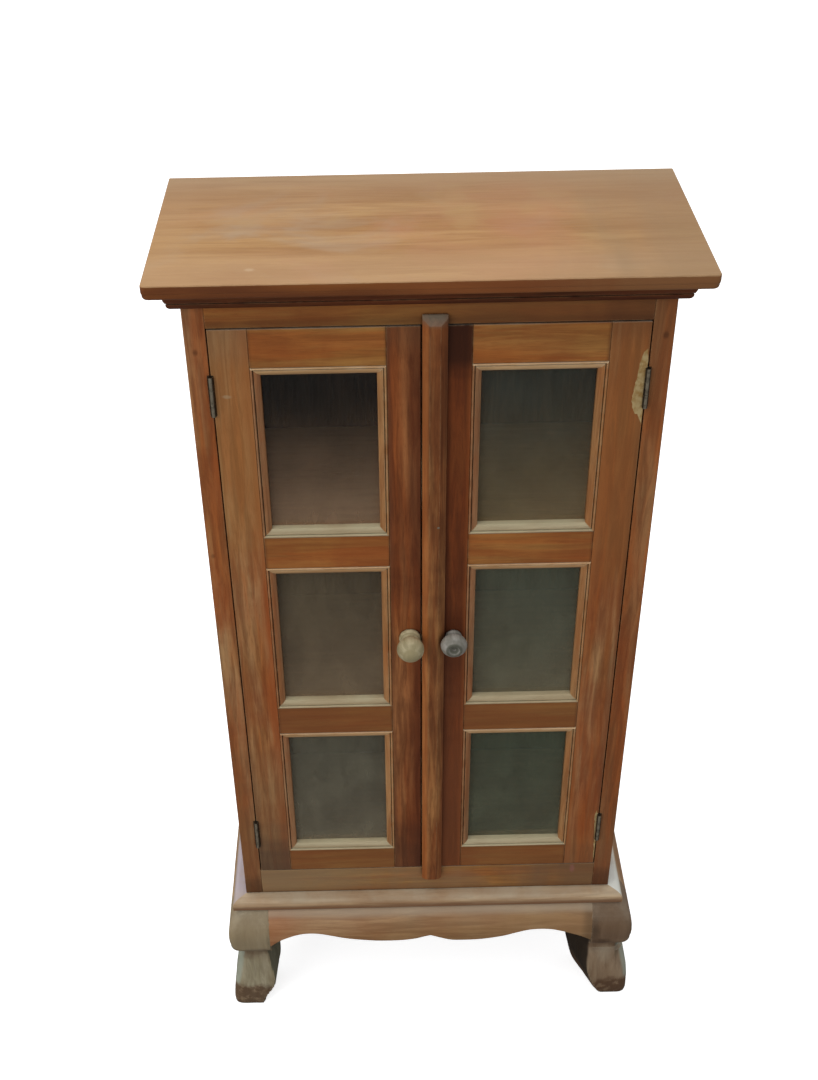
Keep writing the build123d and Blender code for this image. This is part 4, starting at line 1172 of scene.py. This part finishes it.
# ---- glazing beads ----
BEAD_WIDTH = 8.0
BEAD_PROUD = 1.0
BEAD_SLOPE = 3.4
BEAD_STEPS = 12
BEAD_GAP = 0.04  # kept open at each mitre
BEAD_WEAR = 0.12
BEAD_WEAR_SIZE = 12.0


def bead_section():
    """Outer lip, quirk and sloping face of a glazing bead, as (inwards, depth behind the door's face)."""
    front = -BEAD_PROUD
    glass = (GLASS_FACE - DOOR_FACE) / MM
    foot = front + BEAD_SLOPE
    section = [(0.02, glass), (0.02, 0.3)]
    section += arc_points((0.05, front + 0.9), (1.0, front), (1.9, front + 1.1), 7)
    section += [(2.0, front + 2.5), (2.6, front + 2.5)]
    section += arc_points((2.8, front + 1.5), (4.8, front + 1.7), (BEAD_WIDTH - 0.7, foot), 8)
    section += [(BEAD_WIDTH - 0.15, foot + 0.5), (BEAD_WIDTH, foot + 1.2), (BEAD_WIDTH, glass)]
    return section


def bead_stick(corner, way, inwards, length, seed):
    """Rings of one mitred bead from a pane's corner."""
    rings = []
    for i in range(BEAD_STEPS + 1):
        ring = []
        for across, depth in bead_section():
            along = between(across + BEAD_GAP, length - across - BEAD_GAP, i / BEAD_STEPS)
            wear = BEAD_WEAR * (1 + waver((along, across, seed), BEAD_WEAR_SIZE, seed)) if depth < 2 else 0
            x = corner[0] + (way[0] * along + inwards[0] * across) * MM
            z = corner[1] + (way[1] * along + inwards[1] * across) * MM
            ring.append((x, DOOR_FACE + (depth + wear) * MM, z))
        rings.append(ring)
    return rings


def glaze(hand, level, finishes):
    """Replace one pane's four beads by worn moulded ones."""
    low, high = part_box(f"{hand}_door_beads_{level}")
    width, height = (high.x - low.x) / MM, (high.z - low.z) / MM
    seed = 50.0 + 7 * LEVELS.index(level) + SIDES[hand]
    sticks = {
        "top": ((low.x, high.z), (1, 0), (0, -1), width),
        "bottom": ((high.x, low.z), (-1, 0), (0, 1), width),
        "right": ((high.x, high.z), (0, -1), (-1, 0), height),
        "left": ((low.x, low.z), (0, 1), (1, 0), height),
    }
    for number, (edge, (corner, way, inwards, length)) in enumerate(sticks.items()):
        rings = bead_stick(corner, way, inwards, length, seed + number)
        piece = loft(f"{hand}_pane_{level}_bead_{edge}", rings, 40)
        place(piece, f"{hand}_door", finishes[edge], "bead_wood", f"{hand}_door_beads_{level}")


def glaze_all():
    # The left beads' darker tones are painted shade on the side turned from the light.
    left = wood("shaded_left_bead_wood", 61.0, tone(196, 152, 110), tone(172, 116, 72), tone(112, 76, 50),
                stain=tone(176, 96, 50), dust=0.2, wear=0.9, raw=tone(226, 176, 126), rough=0.6, grime=1.0)
    right = wood("right_bead_wood", 64.0, tone(214, 164, 110), tone(190, 132, 80), tone(128, 80, 46),
                 stain=tone(190, 112, 58), dust=0.3, wear=0.9, raw=tone(232, 196, 146), rough=0.55)
    level = wood("level_bead_wood", 62.0, BEAD_LIGHT, BEAD_MIDDLE, BEAD_DARK, along="x", contrast=0.6,
                 stain=tone(206, 142, 90), dust=0.35, wear=0.9, raw=tone(250, 222, 180), rough=0.55,
                 grime=0.4)
    sill = wood("sill_bead_wood", 63.0, tone(224, 208, 170), tone(198, 176, 138), tone(140, 114, 82),
                along="x", contrast=0.7, dust=1.0, wear=0.7, dust_tone=tone(208, 196, 160), rough=0.7,
                grime=0.55)
    finishes = {"top": level, "bottom": sill, "left": left, "right": right}
    for hand in SIDES:
        for number, level_name in enumerate(LEVELS):
            glaze(hand, level_name, finishes)
            dust_film(hand, level_name, number)


DUST_GAP = 0.00012  # metres between a pane and its dust
DUST_WAVE = 0.00006
# Each pane's film as (cover above, cover below, tone above, tone below).
PANE_FILMS = {
    ("left", "upper"): (0.02, 0.54, tone(84, 70, 56), tone(178, 144, 114)),
    ("left", "middle"): (0.42, 0.5, tone(142, 126, 100), tone(160, 138, 110)),
    ("left", "lower"): (0.46, 0.5, tone(146, 140, 118), tone(158, 148, 124)),
    ("right", "upper"): (0.3, 0.42, tone(104, 108, 96), tone(160, 140, 102)),
    ("right", "middle"): (0.4, 0.46, tone(130, 134, 112), tone(146, 142, 116)),
    ("right", "lower"): (0.4, 0.42, tone(120, 128, 104), tone(134, 138, 112)),
}


def dust_film(hand, level, number):
    """A thin sheet of dust on the front of one pane, inside its beads."""
    low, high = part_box(f"{hand}_door_glass_{level}")
    inset = (BEAD_WIDTH - 0.8) * MM
    y = low.y - DUST_GAP
    columns, rows = 8, 12
    points = []
    for i in range(rows):
        for j in range(columns):
            x = between(low.x + inset, high.x - inset, j / (columns - 1))
            z = between(low.z + inset, high.z - inset, i / (rows - 1))
            points.append((x, y - DUST_WAVE * (1 + waver((x, 0, z), 0.02, 3.0)), z))
    piece = finished_mesh(f"{hand}_pane_{level}_dust", points, grid_faces(rows, columns))
    seed = 70.0 + 5 * number + SIDES[hand]
    finish = dust_film_finish(f"{hand}_pane_{level}_dust_film", seed, low.z, high.z, PANE_FILMS[hand, level])
    place(piece, f"{hand}_door", finish, "pane_glass")


# ---- knobs ----
def turned(name, centre, outline, count=72):
    """A turning round an axis that points to the front; outline is (radius, reach) in millimetres."""
    rings = []
    for i in range(count):
        angle = tau * i / count
        ring = []
        for radius, reach in outline:
            x = centre[0] + radius * MM * cos(angle)
            z = centre[2] + radius * MM * sin(angle)
            ring.append((x, centre[1] - reach * MM, z))
        rings.append(ring)
    rings.append(rings[0])
    points = [point for ring in rings for point in ring]
    return finished_mesh(name, points, grid_faces(count + 1, len(outline)), 45)


def knob_outline(hand, reach, head):
    """A knob's outline as (radius, reach), from its foot to the middle of its end."""
    if hand == "left":
        outline = [(0.0, 0.0), (9.9, 0.0)]
        arcs = [
            ((10.1, 0.5), (9.9, 3.4), (8.6, 4.6), 8),
            ((7.9, 4.9), (7.0, 6.6), (8.3, 9.2), 7),
            ((8.8, 9.9), (head, 17.6), (9.6, 25.4), 18),
            ((9.2, 25.9), (7.6, 27.6), (5.4, 28.6), 6),
            ((5.2, 28.7), (2.8, reach - 0.35), (0.0, reach - 0.1), 6),
        ]
        end = []
    else:
        outline = [(0.0, 0.0), (7.9, 0.0)]
        arcs = [
            ((8.1, 0.4), (7.9, 2.6), (7.0, 3.5), 7),
            ((6.6, 3.8), (6.3, 5.0), (7.6, 6.6), 6),
            ((8.2, 7.1), (head, 13.0), (9.6, 19.2), 16),
            ((9.2, 19.6), (7.4, 21.4), (5.8, reach - 0.05), 6),
            ((5.2, reach - 0.3), (3.2, reach - 1.7), (1.4, reach - 2.0), 6),
        ]
        end = [(1.1, reach - 2.6), (0.0, reach - 3.6)]
    for arc in arcs:
        outline += arc_points(*arc)
    return outline + end


def turned_knobs():
    finishes = {
        "left": knob_finish("pale_knob_wood", tone(206, 192, 152), tone(172, 158, 118), 81.0,
                            tone(222, 206, 172), tone(176, 160, 118)),
        "right": knob_finish("grey_knob_wood", tone(178, 172, 162), tone(140, 136, 124), 82.0,
                             tone(206, 198, 196), tone(84, 84, 66)),
    }
    for hand, finish in finishes.items():
        low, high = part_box(f"{hand}_door_knob")
        centre = ((low.x + high.x) / 2, high.y, (low.z + high.z) / 2)
        outline = knob_outline(hand, (high.y - low.y) / MM, (high.x - low.x) / MM / 2)
        piece = turned(f"turned_knob_{hand}", centre, outline)
        place(piece, f"{hand}_door", finish, "knob_wood", f"{hand}_door_knob")


# ---- hinges' screws, the filler and the nail ----
SCREW_RADIUS = 2.1
SCREW_SLOT = 0.5
SCREW_RISE = 0.07
LEAF_THICKNESS = 1.0
SCREW_INSET = 4.6  # from a leaf's back edge
HINGE_HALF = 19.0  # half a leaf's length
SCREW_SPREAD = 12.0  # from a leaf's middle to a screw


def screw_head(name, centre, facing, seed):
    """A countersunk slotted head, flush with a hinge leaf that faces along X."""
    steps = 14
    size = steps + 1
    points, faces = [], []
    for half in (0, 1):
        first = len(points)
        for i in range(size):
            angle = pi * i / steps + pi * half
            across = max(abs(SCREW_RADIUS * sin(angle)), SCREW_SLOT / 2) * (1 if half == 0 else -1)
            points.append((SCREW_RADIUS * cos(angle), across, SCREW_RISE))
        points += [(x, y, 0.0) for x, y, _ in points[first:]]
        faces.append(tuple(range(first, first + size)))
        faces.append(tuple(range(first + 2 * size - 1, first + size - 1, -1)))
        for i in range(size):
            k = (i + 1) % size
            faces.append((first + i, first + k, first + size + k, first + size + i))
    spin = Matrix.Rotation(seed * 1.3, 3, "Z")
    placed = []
    for point in points:
        u, v, w = spin @ Vector(point)
        placed.append((centre[0] + facing * w * MM, centre[1] + u * MM, centre[2] + v * MM))
    return finished_mesh(name, placed, faces)


def hinge_screws(finish):
    """Two screws in each leaf, seen when the doors are open."""
    number = 0
    for hand, side in SIDES.items():
        for leaf, body, facing in (("case", "case", -side), ("door", f"{hand}_door", side)):
            low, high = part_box(f"hinge_{hand}_{leaf}_leaves")
            x = (high.x if facing < 0 else low.x) + facing * LEAF_THICKNESS * MM
            y = high.y - SCREW_INSET * MM
            middles = {"lower": low.z + HINGE_HALF * MM, "upper": high.z - HINGE_HALF * MM}
            for level, middle in middles.items():
                for step, way in enumerate((-1, 1), 1):
                    number += 1
                    spot_at = (x, y, middle + way * SCREW_SPREAD * MM)
                    piece = screw_head(f"screw_{hand}_{leaf}_{level}_{step}", spot_at, facing, number)
                    place(piece, body, finish, "hinge_iron")


# Outline of the filler beside the right door's upper hinge, as (across, height) in millimetres.
FILLER = [
    (180.0, 834.0),
    (176.3, 830.3),
    (174.1, 820.7),
    (173.3, 811.1),
    (172.6, 803.4),
    (171.4, 798.6),
    (170.8, 790.9),
    (170.6, 784.1),
    (171.6, 777.4),
    (173.6, 772.0),
    (176.4, 771.2),
    (178.4, 766.4),
    (180.5, 761.0),
    (180.7, 776.0),
    (180.8, 796.0),
    (180.8, 818.0),
]
CHIP = [
    (178.6, 283.0),
    (177.0, 276.0),
    (177.6, 262.0),
    (178.8, 244.0),
    (179.4, 226.0),
    (180.2, 206.0),
    (180.8, 204.0),
    (180.8, 240.0),
    (180.7, 270.0),
]
DOOR_EDGE = 180.8  # no patch runs past this
FLAKE_RAGGED = 0.9  # how far its outline goes in and out
FLAKE_TOOTH = 2.2  # length of those ins and outs
FLAKE_RISE = 0.12
FLAKE_SINK = 0.00002  # metres that a patch's foot stays in the wood
FLAKE_SLOPE = 0.06  # how far its upper edge is drawn in, as a share


def ragged_outline(outline, seed, depth):
    """Divide an outline's edges and push the new points in and out."""
    points = []
    for first, second in zip(outline, outline[1:] + outline[:1]):
        for i in range(4):
            share = i / 4
            x, z = between(first[0], second[0], share), between(first[1], second[1], share)
            push = depth * waver((x, z, 0), FLAKE_TOOTH, seed)
            points.append((min(x + push, DOOR_EDGE), z + push))
    return points


def flake(name, outline, finish, seed):
    """A thin flat patch on the right door's face, with a ragged edge."""
    edge = ragged_outline(outline, seed, FLAKE_RAGGED)
    middle = sum(x for x, _ in edge) / len(edge)
    foot = [(x * MM, DOOR_FACE + FLAKE_SINK, z * MM) for x, z in edge]
    raised = [(between(x, middle, FLAKE_SLOPE) * MM, DOOR_FACE - FLAKE_RISE * MM, z * MM) for x, z in edge]
    place(loft(name, [foot, raised], 20), "right_door", finish, "stile_wood")


def small_things():
    iron = iron_finish()
    for hand in SIDES:
        for leaf in ("case", "door"):
            dress(f"hinge_{hand}_{leaf}_leaves", iron, 0.00015)
    hinge_screws(iron)
    filler = filler_finish()
    flake("filler_patch_upper", FILLER, filler, 3.0)
    flake("chipped_edge_lower", CHIP, filler, 4.0)
    nail = [(0.0, 0.12), (0.7, 0.1), (1.1, 0.02), (1.15, -0.3), (0.0, -0.3)]
    piece = turned("strip_nail_head", at(8.2, 662.5, STRIP_LOW.y), nail, 20)
    place(piece, "right_door", iron, "hinge_iron")


# ---- boards that keep their solids ----
# How the boards' colours change along and across them, as (axis, none at, all at, colour, strength).
LEFT_SIDE_FADES = [
    ("z", 880, 897, tone(96, 70, 58), 0.6),
    ("z", 520, 240, tone(136, 96, 62), 0.5),
    ("z", 200, 166, tone(70, 50, 36), 0.7),
]
RIGHT_SIDE_FADES = [
    ("z", 700, 860, tone(138, 90, 54), 0.5),
    ("z", 420, 180, tone(130, 82, 50), 0.5),
    ("z", 196, 166, tone(64, 46, 34), 0.6),
]
TOP_RAIL_FADES = [
    ("x", -40, 60, tone(134, 90, 52), 0.5),
    ("x", 100, 178, tone(96, 60, 38), 0.5),
    ("z", 872, 862, tone(84, 50, 28), 0.5),
]
BOTTOM_RAIL_FADES = [
    ("x", 60, -120, tone(160, 136, 102), 0.6),
    ("x", 20, 150, tone(128, 96, 68), 0.75),
    ("z", 172, 163, tone(110, 80, 54), 0.4),
]
LEFT_HANGING_FADES = [
    ("x", -160, -150, tone(176, 90, 40), 0.65),
    ("x", -176, -181, tone(132, 92, 60), 0.4),
    ("z", 560, 700, tone(186, 134, 74), 0.4),
    ("z", 820, 856, tone(150, 118, 92), 0.3),
    ("z", 420, 300, tone(140, 98, 62), 0.45),
    ("z", 290, 205, tone(98, 76, 58), 0.8),
]
RIGHT_HANGING_FADES = [
    # painted shadow along the seam with the case, darker towards the door's outer edge
    ("x", 174, 181, tone(112, 70, 44), 0.55),
    ("x", 156, 149, tone(184, 106, 52), 0.4),
    ("z", 540, 660, tone(166, 112, 62), 0.45),
    ("z", 830, 858, tone(130, 84, 50), 0.5),
    ("z", 260, 205, tone(138, 92, 58), 0.5),
]
LEFT_CLOSING_FADES = [
    ("x", -22, -10, tone(92, 42, 20), 0.6),
    ("x", -30, -35, tone(110, 68, 44), 0.5),
    ("z", 830, 858, tone(120, 80, 52), 0.5),
    ("z", 300, 210, tone(88, 58, 40), 0.5),
]
RIGHT_CLOSING_FADES = [
    ("x", 30, 35, tone(170, 92, 42), 0.5),
    ("z", 790, 835, tone(62, 30, 14), 0.85),
    ("z", 620, 300, tone(140, 82, 48), 0.5),
]
# The meeting strip's painted light: its left facet lighter and its sloping top end paler as painted
# highlights, its right facet darker as painted shade.
STRIP_LIGHT_AND_SHADE = [
    ("x", STRIP_LOW.x / MM + 6.5, STRIP_LOW.x / MM + 3.5, tone(230, 128, 58), 0.3),
    ("z", 858, 869, tone(132, 124, 104), 0.8),
    ("x", 10, 15, tone(116, 66, 38), 0.4),
]


WELD_REACH = 0.000005
ARRIS_ANGLE = 40  # degrees from which a solid's edge is softened


def dress(name, finish, arris=0.0004):
    """Give a solid its finish, weld its faces and soften its edges."""
    piece = NODES[name]
    piece.data.materials.clear()
    piece.data.materials.append(finish)
    weld = piece.modifiers.new("weld", "WELD")
    weld.merge_threshold = WELD_REACH
    soft = piece.modifiers.new("arris", "BEVEL")
    soft.width = arris
    soft.segments = 2
    soft.limit_method = "ANGLE"
    soft.angle_limit = radians(ARRIS_ANGLE)
    soft.harden_normals = False


def dress_case():
    top = top_finish()
    dress("top_board", top, 0.0008)
    top_lip(top)
    dress("side_left", upright("left_side_wood", 2.0, marks=LEFT_KNOTS, fades=LEFT_SIDE_FADES), 0.0006)
    right_side = upright("right_side_wood", 3.0, marks=[RIGHT_KNOT], fades=RIGHT_SIDE_FADES,
                         light=tone(186, 134, 86), middle=tone(164, 104, 58))
    dress("side_right", right_side, 0.0006)
    dress("top_rail", level_rail("case_top_rail_wood", 5.0, grime=0.9, fades=TOP_RAIL_FADES))
    bottom = level_rail("case_bottom_rail_wood", 6.0, dust=0.3, marks=[PINK_MARK], stain=GREY_STAIN,
                        fades=BOTTOM_RAIL_FADES)
    dress("bottom_rail", bottom)
    # The shelves are dusty and painted lighter than their wood, as painted light inside the case.
    shelf = wood("shelf_wood", 7.0, tone(206, 168, 132), tone(182, 142, 108), tone(110, 78, 54), along="x",
                 stain=tone(140, 100, 70), dust=0.7, wear=0.2, rough=0.8, dust_tone=tone(196, 168, 140))
    for name in ("floor_board", "lower_shelf", "upper_shelf"):
        dress(name, shelf)
    # The back is painted very dark, as painted shade inside the case.
    back = wood("shaded_back_sheet_wood", 8.0, tone(120, 86, 60), tone(96, 66, 46), tone(60, 40, 28), dust=0.2,
                wear=0.1, rough=0.85)
    dress("back_panel", back, 0.0003)
    rear_rail = wood("back_rail_wood", 9.0, STAND_LIGHT, STAND_MIDDLE, STAND_DARK, along="x",
                     stain=DARK_STAIN, dust=0.3, wear=0.3, rough=0.75)
    dress("apron_back", rear_rail)


def dress_doors():
    left_hanging = upright("left_hanging_stile_wood", 15.0, marks=[SCRATCH], fades=LEFT_HANGING_FADES)
    dress("left_door_outer_stile", left_hanging)
    right_hanging = upright("right_hanging_stile_wood", 16.0, middle=tone(176, 108, 56),
                            fades=RIGHT_HANGING_FADES)
    dress("right_door_outer_stile", right_hanging)
    left_closing = centre_stile("left_closing_stile_wood", 17.0, fades=LEFT_CLOSING_FADES)
    dress("left_door_closing_stile", left_closing)
    right_closing = centre_stile("right_closing_stile_wood", 18.0, middle=tone(114, 54, 22),
                                 light=tone(134, 74, 34), fades=RIGHT_CLOSING_FADES)
    dress("right_door_closing_stile", right_closing)
    strip = centre_stile("meeting_strip_wood", 19.0, light=tone(204, 142, 84), middle=tone(184, 118, 66),
                         wear=0.7, fades=STRIP_LIGHT_AND_SHADE)
    dress("meeting_strip", strip, 0.0006)
    for hand, side in SIDES.items():
        fades = [("z", 640, 420, tone(132, 80, 46), 0.62)]
        for seam, run in ((145.0, 4.0), (38.0, -4.0)):
            fades.append(("x", side * seam, side * (seam + run), SEAM_TONE, 0.55))
        for number, rail in enumerate(("top_rail", "upper_middle_rail", "lower_middle_rail", "bottom_rail")):
            finish = level_rail(f"{hand}_door_{rail}_wood", 20.0 + 3 * number + side, fades=fades)
            dress(f"{hand}_door_{rail}", finish)
    glass = glass_finish()
    for hand in SIDES:
        for level in LEVELS:
            dress(f"{hand}_door_glass_{level}", glass, 0.0002)


# ---- floor, lights and camera ----
FLOOR_LIFT = 0.75  # how much brighter the floor looks than it is lit
FLOOR_POINTS = 48
FLOOR_CENTRE = 1.5  # metres behind the case's middle
WORLD_LIGHT = 0.5
OVERHEAD_WATTS = 48.0
WINDOW_WATTS = 16.0


def lay_floor():
    """A plain pale floor that fades out of sight."""
    rings = []
    turns = [tau * i / FLOOR_POINTS for i in range(FLOOR_POINTS)]
    for radius in (0.0, 0.5, 1.0, 2.0, 4.0, 9.0):
        rings.append([(radius * cos(turn), FLOOR_CENTRE + radius * sin(turn), 0.0) for turn in turns])
    points = [point for ring in rings for point in ring]
    floor = finished_mesh("pale_floor", points, grid_faces(len(rings), FLOOR_POINTS, closed=True))
    finish, tree, shader = new_finish("pale_floor_paint")
    seen = node(tree, "ShaderNodeLightPath").outputs["Is Camera Ray"]
    where = object_place(tree)
    shade = span(tree, cloud(tree, where, 2.0, 3.0), 0.3, 0.7)
    bright = blend(tree, shade, tone(246, 246, 246), tone(250, 250, 250))
    coat(tree, shader, {
        "Base Color": blend(tree, seen, tone(150, 150, 150), bright),
        "Emission Color": blend(tree, seen, tone(0, 0, 0), tone(255, 255, 255)),
        "Emission Strength": FLOOR_LIFT,
        "Roughness": 0.9,
        "Specular IOR Level": 0.0,
    })
    floor.data.materials.append(finish)


def area_light(name, place_at, aim, size, power, colour=(1.0, 1.0, 1.0)):
    data = bpy.data.lights.new(name, "AREA")
    data.shape = "RECTANGLE"
    data.size, data.size_y = size
    data.energy = power
    data.color = colour
    lamp = bpy.data.objects.new(name, data)
    lamp.location = place_at
    lamp.rotation_euler = (Vector(aim) - Vector(place_at)).to_track_quat("-Z", "Y").to_euler()
    bpy.context.scene.collection.objects.link(lamp)


def light_the_room():
    world = bpy.data.worlds.new("soft_room")
    bpy.context.scene.world = world
    world.use_nodes = True
    sky = world.node_tree.nodes["Background"].inputs
    sky[0].default_value = (0.93, 0.96, 1.0, 1.0)
    sky[1].default_value = WORLD_LIGHT
    area_light("overhead", (-0.3, 0.3, 3.0), (0.0, 0.0, 0.4), (3.4, 3.0), OVERHEAD_WATTS)
    window = (-2.2, -2.0, 2.0)
    area_light("window_left", window, (0.0, 0.0, 0.45), (1.6, 1.8), WINDOW_WATTS, (1.0, 0.99, 0.96))


CAMERA_PLACE = (-0.0432, -1.0932, 1.3959)
CAMERA_RIGHT = (0.99976, -0.01737, -0.0136)
CAMERA_FORWARD = (0.00584, 0.80286, -0.59613)
CAMERA_LENS = 46.69
CAMERA_SHIFT = 0.0185


def set_camera():
    data = bpy.data.cameras.new("photographer")
    data.sensor_fit = "AUTO"
    data.sensor_width = 36.0
    data.lens = CAMERA_LENS
    data.shift_x = CAMERA_SHIFT
    data.clip_end = 50.0
    camera = bpy.data.objects.new("photographer", data)
    back = -Vector(CAMERA_FORWARD).normalized()
    right = Vector(CAMERA_RIGHT).normalized()
    up = back.cross(right)
    turn = Matrix((right, up, back)).transposed().to_4x4()
    camera.matrix_world = Matrix.Translation(CAMERA_PLACE) @ turn
    bpy.context.scene.collection.objects.link(camera)
    bpy.context.scene.camera = camera


# ---- putting it together ----
dress_case()
dress_doors()
carved_legs()
shaped_aprons()
run_mouldings()
glaze_all()
turned_knobs()
small_things()
lay_floor()
light_the_room()
set_camera()
bpy.context.scene.view_settings.view_transform = "Standard"
